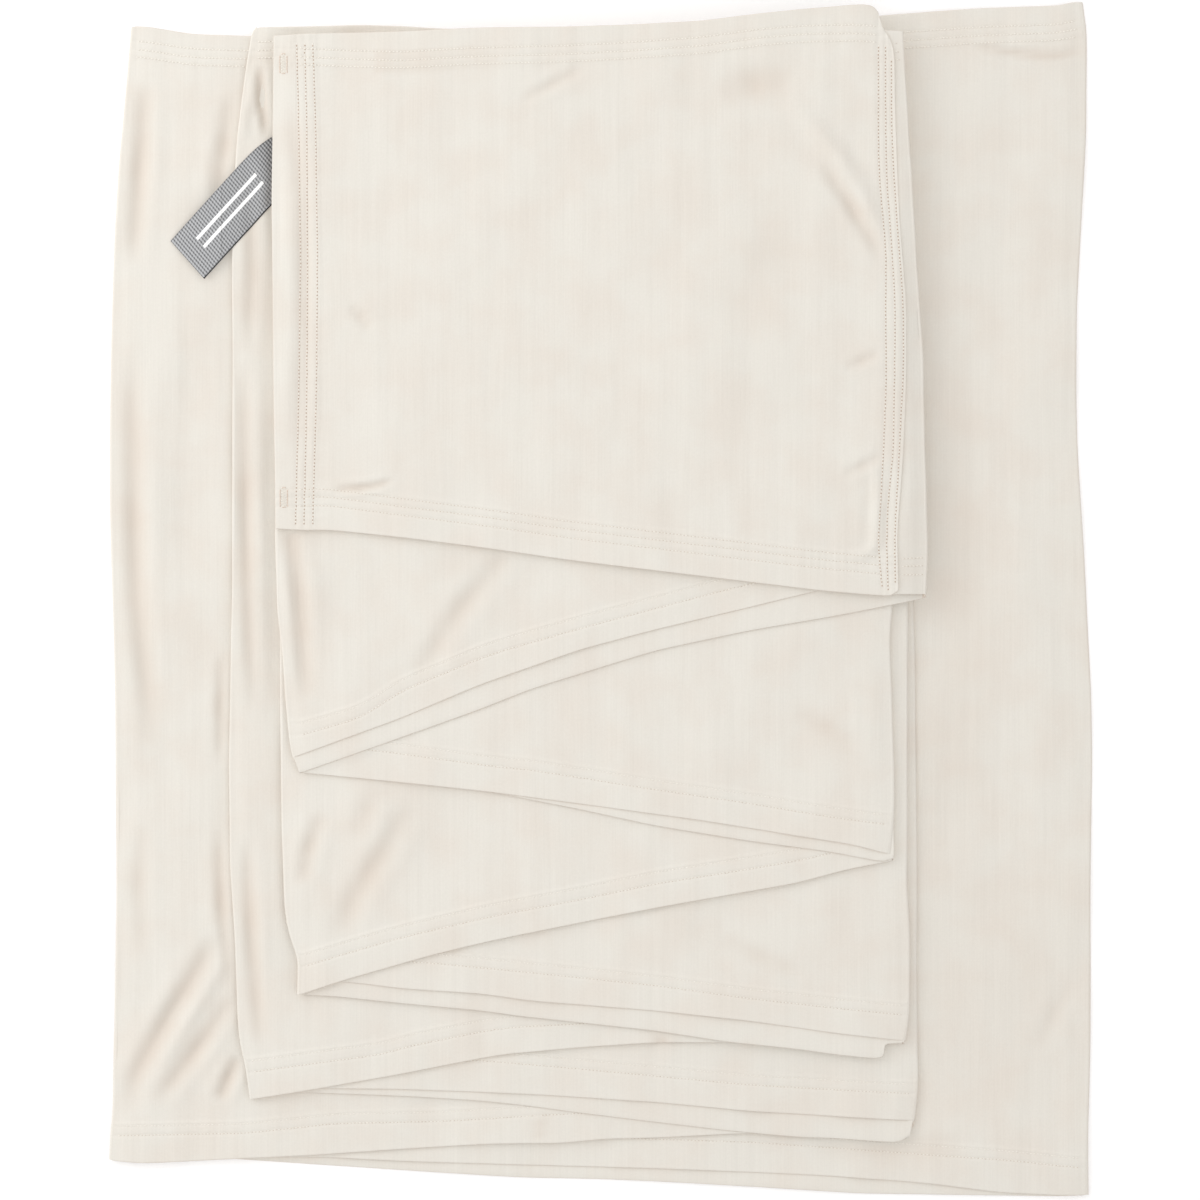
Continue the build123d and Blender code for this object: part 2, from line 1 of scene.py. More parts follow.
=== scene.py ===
"""Folded baby wrap sling: the looks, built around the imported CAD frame."""
import bpy
import math
import numpy as np
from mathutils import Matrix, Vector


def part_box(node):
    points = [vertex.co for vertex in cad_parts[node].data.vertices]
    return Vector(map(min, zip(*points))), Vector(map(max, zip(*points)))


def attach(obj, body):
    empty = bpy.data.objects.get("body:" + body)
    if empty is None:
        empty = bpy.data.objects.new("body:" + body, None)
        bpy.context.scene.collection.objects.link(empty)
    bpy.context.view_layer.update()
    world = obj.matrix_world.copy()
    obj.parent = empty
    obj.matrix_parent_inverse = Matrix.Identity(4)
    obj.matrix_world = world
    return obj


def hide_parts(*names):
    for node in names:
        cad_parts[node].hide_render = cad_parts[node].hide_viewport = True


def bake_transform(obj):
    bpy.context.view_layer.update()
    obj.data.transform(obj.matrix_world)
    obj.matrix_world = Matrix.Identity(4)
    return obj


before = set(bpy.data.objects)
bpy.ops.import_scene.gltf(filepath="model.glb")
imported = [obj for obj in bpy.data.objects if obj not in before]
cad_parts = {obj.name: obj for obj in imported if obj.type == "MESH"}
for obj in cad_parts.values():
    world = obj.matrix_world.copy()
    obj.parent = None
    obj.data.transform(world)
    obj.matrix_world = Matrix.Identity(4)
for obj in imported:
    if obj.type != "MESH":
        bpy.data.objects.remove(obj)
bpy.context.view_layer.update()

MM = 0.001

# ---------------------------------------------------------------- outlines, in mm, in the row frame
# Leaf 0 is the pouch panel, 1 the top leaf, 9 the bottom one. TOP and LOW run left to right, LEFT and RIGHT downwards.
TOP = {
    1: [(-145.6,251.1),(-89.8,252.4),(-55.6,253.8),(-16.4,254.2),(45.2,254.9),(127.1,255.4),(136.6,255.2)],
    2: [(-144.2,250.2),(-89.8,251.6),(-16.4,253.3),(45.2,253.8),(135.2,253.3)],
    3: [(-143.8,249.3),(-89.8,250.7),(-16.4,252.4),(45.2,252.9),(131.6,252)],
    4: [(-143.3,248.8),(-89.8,250.2),(-16.4,251.6),(45.2,252),(131.2,251.1)],
    5: [(-142.9,248.4),(-89.8,249.8),(-16.4,251.1),(45.2,251.6),(133.9,250.2)],
    6: [(-155.7,257.4),(-130.3,257.9),(-107.3,258.5),(-87.1,257.9),(-78.5,257.1),(-58.7,256.5),(-16.4,255.2),
        (45.2,256.1),(117.2,256.5),(134.3,252.9)],
    7: [(-154.6,256.1),(-130.3,256.5),(-87.1,256.5),(-58.7,255.2),(-16.4,253.8),(45.2,254.2),(134.8,252)],
    8: [(-211.9,258.3),(-204.1,257.9),(-185.6,254.7),(-159.1,253.8),(-89.8,252.9),(45.2,253.8),(134.3,251.6)],
    9: [(-210.8,256.5),(-185.6,253.3),(-159.1,252.4),(-89.8,252),(45.2,252.9),(99.2,259.2),(126.2,263.2),
        (148.3,264.8),(171.2,266.5),(209,267.8),(213.5,269.1),(217.6,269.6)],
    0: [(-146.5,252.9),(-133,253.8),(-89.8,254.7),(-55.6,256.5),(-16.4,256.9),(13.7,257.9),(45.7,259.6),
        (67.7,262.4),(90.2,264.8),(118.1,267.1),(122.6,266.4),(124.9,263.2)],
}
RIGHT = {
    1: [(136.6,255.2),(136.6,250.7),(138.4,224.1),(141.1,178.2),(145.6,109.3),(146.9,53.1),(147.8,18.4),
        (146.9,2.7)],
    2: [(135.2,253.3),(135.7,243),(137.5,220.5),(140.2,175.5),(144.7,108),(146,53.1),(146.9,18.4),
        (146.5,1.4)],
    3: [(131.6,252),(132.1,216),(132.1,-0.9),(130.7,-15.8),(131.6,-50.4),(132.5,-73.3),(132.8,-97.2),
        (133.4,-112.5)],
    4: [(131.2,251.1),(131.6,216),(131.6,-0.9),(130.3,-15.8),(131.2,-50.4),(132.1,-73.3),(132.3,-97.2),
        (132.8,-116.1)],
    5: [(133.9,250.2),(136.1,220.5),(138.8,175.5),(139.3,90),(138.8,-2.2),(138.8,-45),(138.8,-90),
        (138.4,-126.5),(139.7,-147.6),(139.9,-185.4),(138.4,-196.2)],
    6: [(134.3,252.9),(135.7,220.5),(138.4,175.5),(138.8,90),(138.4,-2.2),(138.4,-45),(138.4,-90),
        (137.9,-126.5),(139.3,-147.6),(139.5,-185.4),(137.9,-198)],
    7: [(134.8,252),(137,224.1),(139.7,178.2),(140.6,109.3),(141.1,53.1),(141.5,0),(142.4,-45),
        (143.3,-112.5),(142.9,-160.2),(143.3,-198.4),(144.2,-217.3),(142.4,-232.7)],
    8: [(134.3,251.6),(136.6,224.1),(139.3,178.2),(140.2,109.3),(140.6,53.1),(141.1,0),(142,-45),
        (142.9,-112.5),(142.4,-160.2),(142.9,-198.4),(143.8,-217.3),(142,-233.6),(141.1,-238.1)],
    9: [(217.6,269.6),(219.4,256.1),(219.4,212.4),(217.1,166.5),(214.9,132.3),(214.7,90),(215.3,70.2),
        (217.6,36),(219.4,1.4),(221.2,-38.7),(222.1,-72),(221.6,-103.5),(221.2,-147.6),(221.2,-198.4),
        (220.3,-236.2),(220.5,-268.2)],
    0: [(124.9,263.2),(126.7,256.5),(132.1,249.3),(132.5,218.2),(134.3,172.3),(137.5,132.3),(137.5,97.7),
        (136.1,64.8),(133.4,30.1),(133.9,4.5)],
}
LEFT = {
    1: [(-145.6,251.1),(-146,210.2),(-146.2,179.1),(-145.6,90),(-145.1,63)],
    2: [(-144.2,250.2),(-145.1,225),(-145.8,179.1),(-145.6,90),(-146.2,30.1),(-145.6,-4.5),(-143.3,-21.6),
        (-142,-38.7),(-139.7,-67.5),(-136.1,-77)],
    3: [(-143.8,249.3),(-144.7,225),(-145.3,179.1),(-145.1,90),(-145.6,30.1),(-144.7,-4.5),(-142.4,-21.6),
        (-141.1,-38.7),(-138.8,-67.5),(-135.2,-76.5)],
    4: [(-143.3,248.8),(-144.2,225),(-144.9,179.1),(-144.7,90),(-144.4,30.1),(-144,-72),(-143.6,-106.2),
        (-142,-140.8),(-139.7,-152.6),(-136.1,-159.3)],
    5: [(-142.9,248.4),(-143.8,225),(-144.4,179.1),(-144.2,90),(-143.8,30.1),(-143.3,-72),(-142.9,-106.2),
        (-141.1,-140.8),(-138.8,-152.6),(-135.2,-159.3)],
    6: [(-155.7,257.4),(-157.3,256.5),(-160.4,235.8),(-164,207),(-166.3,155.2),(-165.8,90),(-166.3,0),
        (-167.4,-72),(-167.2,-117.9),(-164.9,-153),(-163.1,-198),(-160.4,-208.3)],
    7: [(-154.6,256.1),(-156.4,254.7),(-159.5,235.8),(-163.1,207),(-165.4,155.2),(-164.9,90),(-165.4,0),
        (-166.5,-72),(-166.3,-117.9),(-164,-153),(-161.8,-198),(-159.1,-208.3)],
    8: [(-211.9,258.3),(-213.1,241.2),(-216.7,201.2),(-219.4,161.1),(-220.9,109.3),(-221.2,41.9),(-220,-4.5),
        (-218.9,-38.7),(-218.5,-81),(-218.5,-140.8),(-219.1,-175.5),(-220,-232.7),(-220.9,-237.2)],
    9: [(-210.8,256.5),(-212.2,240.3),(-215.8,201.2),(-218.5,161.1),(-220,109.3),(-220.3,41.9),(-219.1,-4.5),
        (-218,-38.7),(-217.6,-81),(-217.6,-140.8),(-218.2,-175.5),(-219.1,-232.7),(-220,-237.2)],
    0: [(-146.5,252.9),(-146.9,210.2),(-147.4,179.1),(-146.5,90),(-146,63)],
}
LOW_U = {
    1: [(-145.6,33.1),(-130.3,32.2),(-123.5,32.9),(-89.8,29.2),(-53.8,24.8),(-12.8,18.9),(56,10.6),
        (98.8,5.4),(130.3,2.5),(136.6,2.9)],
    2: [(-138.4,-70.2),(-136.1,-69.3),(-89.8,-52.6),(-55.6,-38.2),(-9.2,-22.1),(25,-13.1),(67.7,-3.1),
        (98.8,4.5),(126.2,9.9),(146,12.6)],
    3: [(-134.8,-77.4),(-84.4,-82.3),(-49.7,-86),(-9.2,-91.3),(47.9,-99),(90.2,-105.8),(115.9,-109.8),
        (130.7,-113.8)],
    4: [(-136.6,-177.3),(-119,-171.4),(-84.4,-161.6),(-78.5,-159.8),(-49.7,-153),(-9.2,-144.9),(25,-138.2),
        (90.2,-126.9),(111.8,-121),(132.8,-117)],
    5: [(-135.2,-170.1),(-110.9,-171.9),(-89.8,-174.6),(-53.8,-176.8),(-32.2,-180),(25,-184.5),(67.7,-189),
        (90.2,-192.2),(105.5,-194.4),(137.9,-198)],
    6: [(-158.2,-224.6),(-130.3,-220.1),(-96.1,-214.2),(-61,-207.4),(-43.9,-204.3),(-9.2,-201.2),(25,-198.9),
        (57.4,-198.9),(90.2,-199.3),(137.5,-199.8)],
    7: [(-157.3,-221.4),(-136.1,-219.6),(-89.8,-220.1),(-32.2,-222.3),(25,-225.9),(67.7,-229.9),
        (90.2,-231.3),(105.5,-232.2),(142,-234.3)],
    8: [(-221.8,-252.4),(-208.6,-253.6),(-191,-252.9),(-161.8,-251.4),(-130.7,-250),(-88,-247.1),
        (-49.7,-244.8),(-26.8,-244.5),(-19.1,-244.8),(1.6,-242.6),(27.2,-242.1),(59.6,-240.3),(99.2,-239.4)],
    9: [(-220.7,-250.7),(-191,-251.6),(-160,-250.9),(-122.2,-251.1),(-88,-252.9),(-27.7,-254.7),
        (27.2,-256.1),(60.1,-257.4),(104.6,-259.4),(149.6,-262.8),(181.6,-266.9),(209,-268.2)],
    0: [(-145.6,32.2),(-130.3,31.3),(-123.5,31.9),(-89.8,28.4),(-53.8,23.9),(-12.8,18),(56,9.7),(98.8,4.5),
        (130.3,1.8)],
}
LOW_L = {
    1: [(-145.1,34.6),(-123.5,34.2),(-89.8,31.1),(-53.8,26.6),(-12.8,21.1),(56,12.6),(98.8,7.2),(136.6,4.5)],
    2: [(-136.1,-77.4),(-96.1,-63.5),(-53.8,-48.6),(-32.2,-40),(25,-22.5),(67.7,-13.5),(107.8,-6.8),
        (132.1,-2),(146.5,0.9)],
    3: [(-134.3,-77),(-84.4,-81.9),(-49.7,-86),(-9.2,-93.8),(25,-101.2),(67.7,-108),(105.5,-113),
        (128.5,-117.5),(132.8,-116.1)],
    4: [(-135.2,-175.5),(-119,-170.1),(-78.5,-158.4),(-49.7,-151.7),(-9.2,-143.6),(25,-136.8),(90.2,-125.5),
        (111.8,-119.7),(132.3,-115.7)],
    5: [(-135.7,-177.3),(-119,-178.2),(-89.8,-181.3),(-53.8,-184.5),(-38,-186.8),(25,-193.5),(56.9,-198.4),
        (90.2,-201.8),(105.5,-204),(124,-206),(128.9,-205.6),(129.4,-199.5),(137.9,-198.9)],
    6: [(-157.3,-223.2),(-130.3,-218.7),(-96.1,-212.8),(-61,-206.1),(-43.9,-202.9),(-9.2,-199.8),(25,-197.6),
        (57.4,-197.6),(90.2,-198),(137.5,-198.4)],
    7: [(-157.3,-223.2),(-142,-221.4),(-89.8,-223.2),(-53.8,-225.4),(-32.2,-227.7),(-9.2,-230.8),(25,-234.9),
        (59.6,-238.9),(90.2,-241.7),(105.5,-242.1),(135.7,-244.3),(140.6,-241.7)],
    8: [(-220.9,-250.7),(-208.6,-252),(-191,-251.1),(-161.8,-249.8),(-130.7,-248.4),(-88,-245.7),
        (-49.7,-243.4),(-26.8,-243.2),(-19.1,-243.4),(1.6,-241.2),(27.2,-240.8),(59.6,-238.9),(99.2,-238.1)],
    9: [(-220.3,-249.3),(-191,-250.2),(-160,-252.2),(-88,-256.9),(-36.2,-260.1),(0.2,-260.8),(27.2,-261.9),
        (74.9,-264.6),(118.1,-267.3),(209,-268.6)],
}
LOW_ROW = {
    0: [(-135.2,49.5),(-123.5,50),(-89.8,45.5),(-53.8,41),(-12.8,35.1),(56,26.8),(98.8,21.6),(126.2,19.1)],
    2: [(-134.3,-55.4),(-107.3,-47.7),(-89.8,-36),(-49.7,-19.4),(-9.2,-7.7),(25,1.4),(53.8,9),(90.2,18),
        (143.8,30.1)],
    3: [(-132.5,-60.3),(-97,-63.9),(-43.9,-71.1),(-32.2,-72),(25,-81),(67.7,-87.3),(105.5,-93.6),
        (130.3,-96.8)],
    4: [(-133.9,-159.8),(-107.3,-151.7),(-89.8,-146.7),(-49.7,-137.2),(-9.2,-129.6),(25,-122.4),
        (67.7,-115.7),(92.9,-111.2),(130.3,-102.2)],
    5: [(-133.9,-155.2),(-72.7,-159.3),(-32.2,-163.3),(25,-169.2),(67.7,-175.1),(105.5,-179.3),(137,-182.5)],
    6: [(-159.5,-207.9),(-130.3,-203.8),(-96.1,-199.3),(-89.8,-196.7),(-53.8,-189.4),(-38,-187.2),
        (0.2,-185.4),(45.2,-184.1),(136.1,-183.6)],
    7: [(-156.4,-200.7),(-89.8,-201.6),(-46.1,-203.8),(-9.2,-207),(25,-210.2),(67.7,-214.2),(105.5,-216.4),
        (141.5,-218.2)],
    8: [(-218,-237.2),(-161.8,-236.2),(-130.3,-233.1),(-122.2,-231.8),(-70.4,-230.8),(-29.5,-228.2),
        (27.2,-225.4),(90.2,-223.7),(140.2,-222.3)],
    9: [(-216.7,-234.9),(-134.8,-235.3),(-27.7,-237.2),(69.1,-240.3),(143.3,-245.7),(181.6,-248.2),
        (218.9,-252)],
}
TOP_ROW = {
    0: [(-134.8,247.5),(-128,247.1),(-89.8,245.7),(-55.6,247.7),(-16.4,248.6),(13.7,250.2),(45.7,252.4),
        (67.7,255.6),(90.2,257.6),(118.1,258.1),(124.4,257.2)],
    2: [(-142.9,243.9),(-89.8,245.2),(-16.4,247.1),(45.2,247.5),(133.4,247.1)],
    3: [(-142.4,243),(-89.8,244.3),(-16.4,246.2),(45.2,246.6),(129.8,245.7)],
    4: [(-142,242.6),(-89.8,243.9),(-16.4,245.2),(45.2,245.7),(129.4,244.8)],
    5: [(-141.5,242.1),(-89.8,243.4),(-16.4,244.8),(45.2,245.2),(132.1,243.9)],
    6: [(-154.3,251.1),(-130.3,251.6),(-107.3,252.2),(-87.1,251.6),(-78.5,250.8),(-58.7,250.2),(-16.4,248.8),
        (45.2,249.8),(117.2,250.2),(132.5,246.6)],
    7: [(-153.2,249.8),(-130.3,250.2),(-87.1,250.2),(-58.7,248.8),(-16.4,247.5),(45.2,247.9),(133,245.7)],
    8: [(-210.6,252),(-204.1,251.6),(-185.6,248.4),(-159.1,247.5),(-89.8,246.6),(45.2,247.5),(132.5,245.2)],
    9: [(-209.5,248.4),(-185.6,245.2),(-159.1,244.3),(-89.8,243.9),(45.2,244.8),(99.2,251.1),(126.2,255.2),
        (148.3,256.7),(171.2,258.4),(209,259.6),(213.5,261),(215.8,261.4)],
}
MOUTH = [[(-136.1,250.2),(-135.2,216),(-134.3,153),(-135.2,90),(-136.6,32.9)],
    [(-132.5,250.2),(-131.6,216),(-131.2,153),(-131.6,90),(-132.8,32.9)],
    [(-128.9,250.2),(-127.6,216),(-126.7,153),(-127.3,90),(-128.9,32.9)]]
END = [[(124.9,249.3),(124.9,196.7),(126.2,178.2),(128.5,155.2),(128,132.3),(128.5,99),(127.6,76),
        (126.2,47.2),(124.4,25.6),(126.7,5)],
    [(128,249.3),(128,224.1),(128.5,189.4),(130.3,166.5),(132.5,132.3),(131.6,64.8),(128.9,41.4),
        (128.5,18.4),(129.4,4.5)],
    [(130.7,243),(130.7,218.2),(131.2,201.2),(133,172.3),(136.1,132.3),(136.1,97.7),(135.2,87.8),
        (134.3,64.8),(132.1,30.1),(132.5,7.2)]]
LABEL_TIP = ((-193.5, 161.8), (-178.6, 145.0))     # far and near corner of the loop
LABEL_DIR = (0.676, 0.737)

# Creases and soft folds: leaf, points, height in mm (a valley is negative), half width in mm
CREASES = [
    (0, [(84, 224), (92, 216), (100, 207), (107, 199), (114, 190), (122, 174), (127, 163)], 0.60, 2.9),
    (0, [(100, 196), (107, 186), (113, 177), (122, 162), (127.5, 152)], -0.42, 2.0),
    (0, [(54, 227), (70, 231), (88, 230)], -0.34, 5.0),
    (0, [(60, 120), (75, 150), (84, 190)], -0.16, 8.0),
    (0, [(110, 104), (118, 107), (126, 111)], -0.26, 1.5),
    (0, [(109, 56), (118, 60), (127, 65)], -0.26, 1.5),
    (0, [(124, 62), (125, 48), (124, 25), (120, 20.5), (111, 20)], 0.45, 1.8),
    (0, [(-119, 49.5), (-104, 50.4), (-92, 53.5)], -0.55, 1.0),
    (0, [(-112, 132), (-102, 122)], -0.30, 2.0),
    (0, [(-35, 224), (-7, 238.5)], -0.25, 1.6),
    (0, [(-139, 225), (-133, 180), (-132, 120), (-135, 60)], -0.30, 2.5),
    (2, [(-38, 26), (-50, 10), (-62, -4), (-75, -24), (-83, -36)], -0.36, 3.0),
    (2, [(-140.5, 46), (-137.4, 22), (-134.6, 2), (-133.0, -28), (-131.2, -46)], -0.78, 2.4),
    (4, [(-84, -92), (-100, -118), (-111, -136), (-117, -152)], -0.42, 3.0),
    (4, [(-99, -82), (-104, -94), (-110, -108)], -0.22, 3.0),
    (4, [(-125, -96), (-130, -110), (-133.5, -128)], -0.45, 2.2),
    (3, [(88, -50), (118, -66)], -0.25, 2.4),
    (5, [(55, -152), (92, -170)], -0.25, 2.4),
    (6, [(26.5, -193), (30, -205)], -0.35, 1.6),
    (6, [(62, -199), (64, -206)], -0.35, 1.6),
    (6, [(-153, 240), (-151.5, 222), (-149.5, 209)], -0.75, 1.5),
    (6, [(-157.5, 236), (-160.5, 215), (-161, 205)], 0.5, 2.0),
    (6, [(-159.5, 108), (-159, 40), (-157.5, -20), (-155.5, -50)], -0.52, 2.3),
    (6, [(-158.6, -106), (-157.4, -140), (-155, -175), (-152.6, -202)], -0.52, 2.2),
    (6, [(-158, 205), (-156, 150), (-158, 110)], -0.35, 2.4),
    (8, [(-172, -151), (-181, -167), (-191, -183), (-209.5, -215.5), (-211, -232)], -0.62, 2.8),
    (8, [(-165, -179), (-179, -200), (-199, -226)], -0.52, 2.4),
    (8, [(-162.5, -205.5), (-171.5, -226)], -0.62, 2.0),
    (8, [(-168, -160), (-186, -190), (-200, -212)], 0.45, 2.6),
    (8, [(-166, 228), (-169, 203), (-173, 178)], -0.42, 2.6),
    (8, [(-204.5, 234), (-206.2, 204), (-208.5, 172), (-210, 150)], -0.55, 2.6),
    (8, [(-210.5, 112), (-210, 60), (-208.5, 0), (-204.5, -34), (-201, -66)], -0.64, 3.0),
    (8, [(-170.4, -24), (-170.6, -50), (-170.8, -74)], -0.34, 1.8),
    (8, [(-171.5, -104), (-170.2, -136), (-166.6, -172)], -0.42, 2.0),
    (8, [(-206, -100), (-207.5, -130), (-206, -160)], -0.30, 2.6),
    (8, [(-196, 160), (-198, 60), (-195, -60)], 0.20, 7.0),
    (8, [(-27.7, -228), (-27.7, -245)], -0.35, 1.0),
    (9, [(168, 249.5), (190, 246.2), (208, 245.4), (218, 248.5)], -0.50, 1.1),
    (9, [(213, -172), (204, -189), (197, -206)], -0.20, 2.6),
    (9, [(160, 120), (164, 0), (160, -120)], -0.22, 7.0),
    (9, [(96, -246), (136, -247.5), (168, -248)], -0.28, 4.0),
    (9, [(180, -110), (184, -180), (180, -240)], -0.13, 20.0),
    (9, [(196, 160), (192, 60), (198, -60), (196, -160)], 0.30, 7.0),
]

# ---------------------------------------------------------------- heights taken from the frame
Z = {}
for k in range(1, 10):
    Z[k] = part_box(f"leaf_{k}_lower_ply")[0].z / MM       # underside of the leaf
PLY = (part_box("leaf_1_lower_ply")[1].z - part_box("leaf_1_lower_ply")[0].z) / MM
GAP = (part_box("leaf_1_upper_ply")[0].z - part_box("leaf_1_lower_ply")[1].z) / MM
UP = PLY + GAP                                             # underside of the upper ply over the leaf's underside
LEAF = UP + PLY
Z[0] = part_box("pouch_panel")[0].z / MM
LABEL_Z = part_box("label_sewn_end")[0].z / MM
HINGE_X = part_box("label_free_end")[1].x / MM
ROLL = 1.6                                                 # how far a fold rolls out past the plies' ends
RIM = 0.32                                                 # round of a hemmed edge


# ---------------------------------------------------------------- small tools
def lines(pts, sigma=3.0, step=0.5):
    """A polyline made even and smooth, its ends kept."""
    p = np.array(pts, float)
    seg = np.r_[0, np.cumsum(np.linalg.norm(np.diff(p, axis=0), axis=1))]
    n = max(int(seg[-1] / step), 8) + 1
    s = np.linspace(0, seg[-1], n)
    q = np.c_[np.interp(s, seg, p[:, 0]), np.interp(s, seg, p[:, 1])]
    if sigma:
        r = min(int(3 * sigma / step), n - 1)
        kern = np.exp(-0.5 * (np.arange(-r, r + 1) * step / sigma) ** 2)
        kern /= kern.sum()
        pad = np.r_[2 * q[0] - q[r:0:-1], q, 2 * q[-1] - q[-2:-r - 2:-1]]
        q = np.c_[np.convolve(pad[:, 0], kern, "valid"), np.convolve(pad[:, 1], kern, "valid")]
    return q


def even(pts, sigma, near=1.5, reach=22.0):
    """As lines(), with less smoothing near the two ends, where corners are crisp."""
    a, b = lines(pts, sigma), lines(pts, near)
    s = np.r_[0, np.cumsum(np.linalg.norm(np.diff(b, axis=0), axis=1))]
    d = np.minimum(s, s[-1] - s)
    w = sstep(1 - d / reach)[:, None]
    return a * (1 - w) + b * w


def at(curve, f):
    seg = np.r_[0, np.cumsum(np.linalg.norm(np.diff(curve, axis=0), axis=1))]
    s = np.asarray(f) * seg[-1]
    return np.c_[np.interp(s, seg, curve[:, 0]), np.interp(s, seg, curve[:, 1])]


def knots(length, coarse, zones):
    """Positions from 0 to 1, at the coarse spacing apart from zones of (start, end, spacing) in mm."""
    out, s = [0.0], 0.0
    while s < length - 1e-6:
        h = min([z[2] for z in zones if z[0] - 1e-6 <= s < z[1]] or [coarse])
        ahead = [z[0] for z in zones if s + 1e-6 < z[0] < s + h]
        s = min([s + h] + ahead)
        out.append(min(s, length))
    out = np.array(out)
    if out[-1] - out[-2] < 0.3 and len(out) > 2:
        out = np.delete(out, -2)
    return out / length


def sstep(t):
    t = np.clip(t, 0, 1)
    return t * t * (3 - 2 * t)


GX0, GX1, GY0, GY1, GS = -228.0, 228.0, -276.0, 276.0, 1.0
gx, gy = np.arange(GX0, GX1 + 0.5, GS), np.arange(GY0, GY1 + 0.5, GS)
GXX, GYY = np.meshgrid(gx, gy)


def blur(a, sx, sy):
    for axis, s in ((1, sx), (0, sy)):
        if s <= 0:
            continue
        r = int(3 * s / GS) + 1
        k = np.exp(-0.5 * (np.arange(-r, r + 1) * GS / s) ** 2)
        k /= k.sum()
        n = a.shape[axis] + 2 * r
        pad = [(0, 0), (0, 0)]
        pad[axis] = (r, r)
        b = np.pad(a, pad, mode="reflect" if r < a.shape[axis] else "wrap")
        f = np.fft.rfft(b, axis=axis) * np.abs(np.fft.rfft(np.roll(np.pad(k, (0, n - len(k))), -r))).reshape(
            (1, -1) if axis == 1 else (-1, 1))
        b = np.fft.irfft(f, n, axis=axis)
        a = b[:, r:-r] if axis == 1 else b[r:-r]
    return a


def noise(seed, sx, sy):
    a = blur(np.random.default_rng(seed).standard_normal(GXX.shape), sx, sy)
    return a / a.std()


def sample(a, x, y):
    fx, fy = np.clip((x - GX0) / GS, 0, a.shape[1] - 1.001), np.clip((y - GY0) / GS, 0, a.shape[0] - 1.001)
    i, j = fy.astype(int), fx.astype(int)
    u, v = fx - j, fy - i
    return (a[i, j] * (1 - u) + a[i, j + 1] * u) * (1 - v) + (a[i + 1, j] * (1 - u) + a[i + 1, j + 1] * u) * v


def inside(poly):
    p = np.array(poly)
    m = np.zeros(GXX.shape, bool)
    for (x0, y0), (x1, y1) in zip(p, np.roll(p, -1, 0)):
        if y0 == y1:
            continue
        c = (GYY >= min(y0, y1)) & (GYY < max(y0, y1))
        m ^= c & (GXX < x0 + (GYY - y0) / (y1 - y0) * (x1 - x0))
    return m.astype(float)


def to_line(pts, x, y):
    """Distance from a smooth line, and how strongly it shows there: it fades out towards both ends."""
    p = lines(pts, 2.5, 1.0) if len(pts) > 2 else np.array(pts, float)
    run = np.r_[0, np.cumsum(np.linalg.norm(np.diff(p, axis=0), axis=1))]
    d, where = np.full(x.shape, 1e9), np.zeros(x.shape)
    for (x0, y0), (x1, y1), r in zip(p, p[1:], run):
        l2 = (x1 - x0) ** 2 + (y1 - y0) ** 2
        t = np.clip(((x - x0) * (x1 - x0) + (y - y0) * (y1 - y0)) / l2, 0, 1)
        e = np.hypot(x - x0 - t * (x1 - x0), y - y0 - t * (y1 - y0))
        near = e < d
        d[near], where[near] = e[near], (r + t * math.sqrt(l2))[near]
    f = where / run[-1]
    return d, np.sin(math.pi * np.clip(f, 0, 1)) ** 0.8 * (1 + 0.15 * np.sin(f * 17))


def mesh_object(name, verts, faces, uv=None, smooth=True, sharp=False):
    """verts in mm. faces: an array of quads or of triangles, or a list of such arrays."""
    me = bpy.data.meshes.new(name)
    groups = faces if isinstance(faces, list) else [faces]
    me.vertices.add(len(verts))
    me.vertices.foreach_set("co", (np.asarray(verts, np.float64) * MM).astype(np.float32).ravel())
    loops = np.concatenate([g.ravel() for g in groups]).astype(np.int32)
    sizes = np.concatenate([np.full(len(g), g.shape[1]) for g in groups])
    me.loops.add(len(loops))
    me.loops.foreach_set("vertex_index", loops)
    me.polygons.add(len(sizes))
    starts = np.r_[0, np.cumsum(sizes)[:-1]].astype(np.int32)
    me.polygons.foreach_set("loop_start", starts)
    if smooth:
        me.polygons.foreach_set("use_smooth", np.ones(len(sizes), bool))
    if uv is not None:
        layer = me.uv_layers.new(name="Cloth")
        layer.data.foreach_set("uv", (np.asarray(uv) * MM).astype(np.float32)[loops].ravel())
    me.update(calc_edges=True)
    me.validate()
    if smooth and sharp:
        me.set_sharp_from_angle(angle=math.radians(62))
    ob = bpy.data.objects.new(name, me)
    bpy.context.scene.collection.objects.link(ob)
    return ob


# ---------------------------------------------------------------- curves of each leaf
def side(pts, end, sigma=5.0):
    """A side curve that stops at the ply's corner."""
    keep = [p for p in pts if p[1] > end[1] + 1.5]
    return even(keep + [end], sigma)


def corner(low, pts):
    """The row of low points with the corner added, where the side stands further out than the row."""
    return low + [pts[-1]] if abs(pts[-1][0] - low[-1][0]) > 3.0 else low


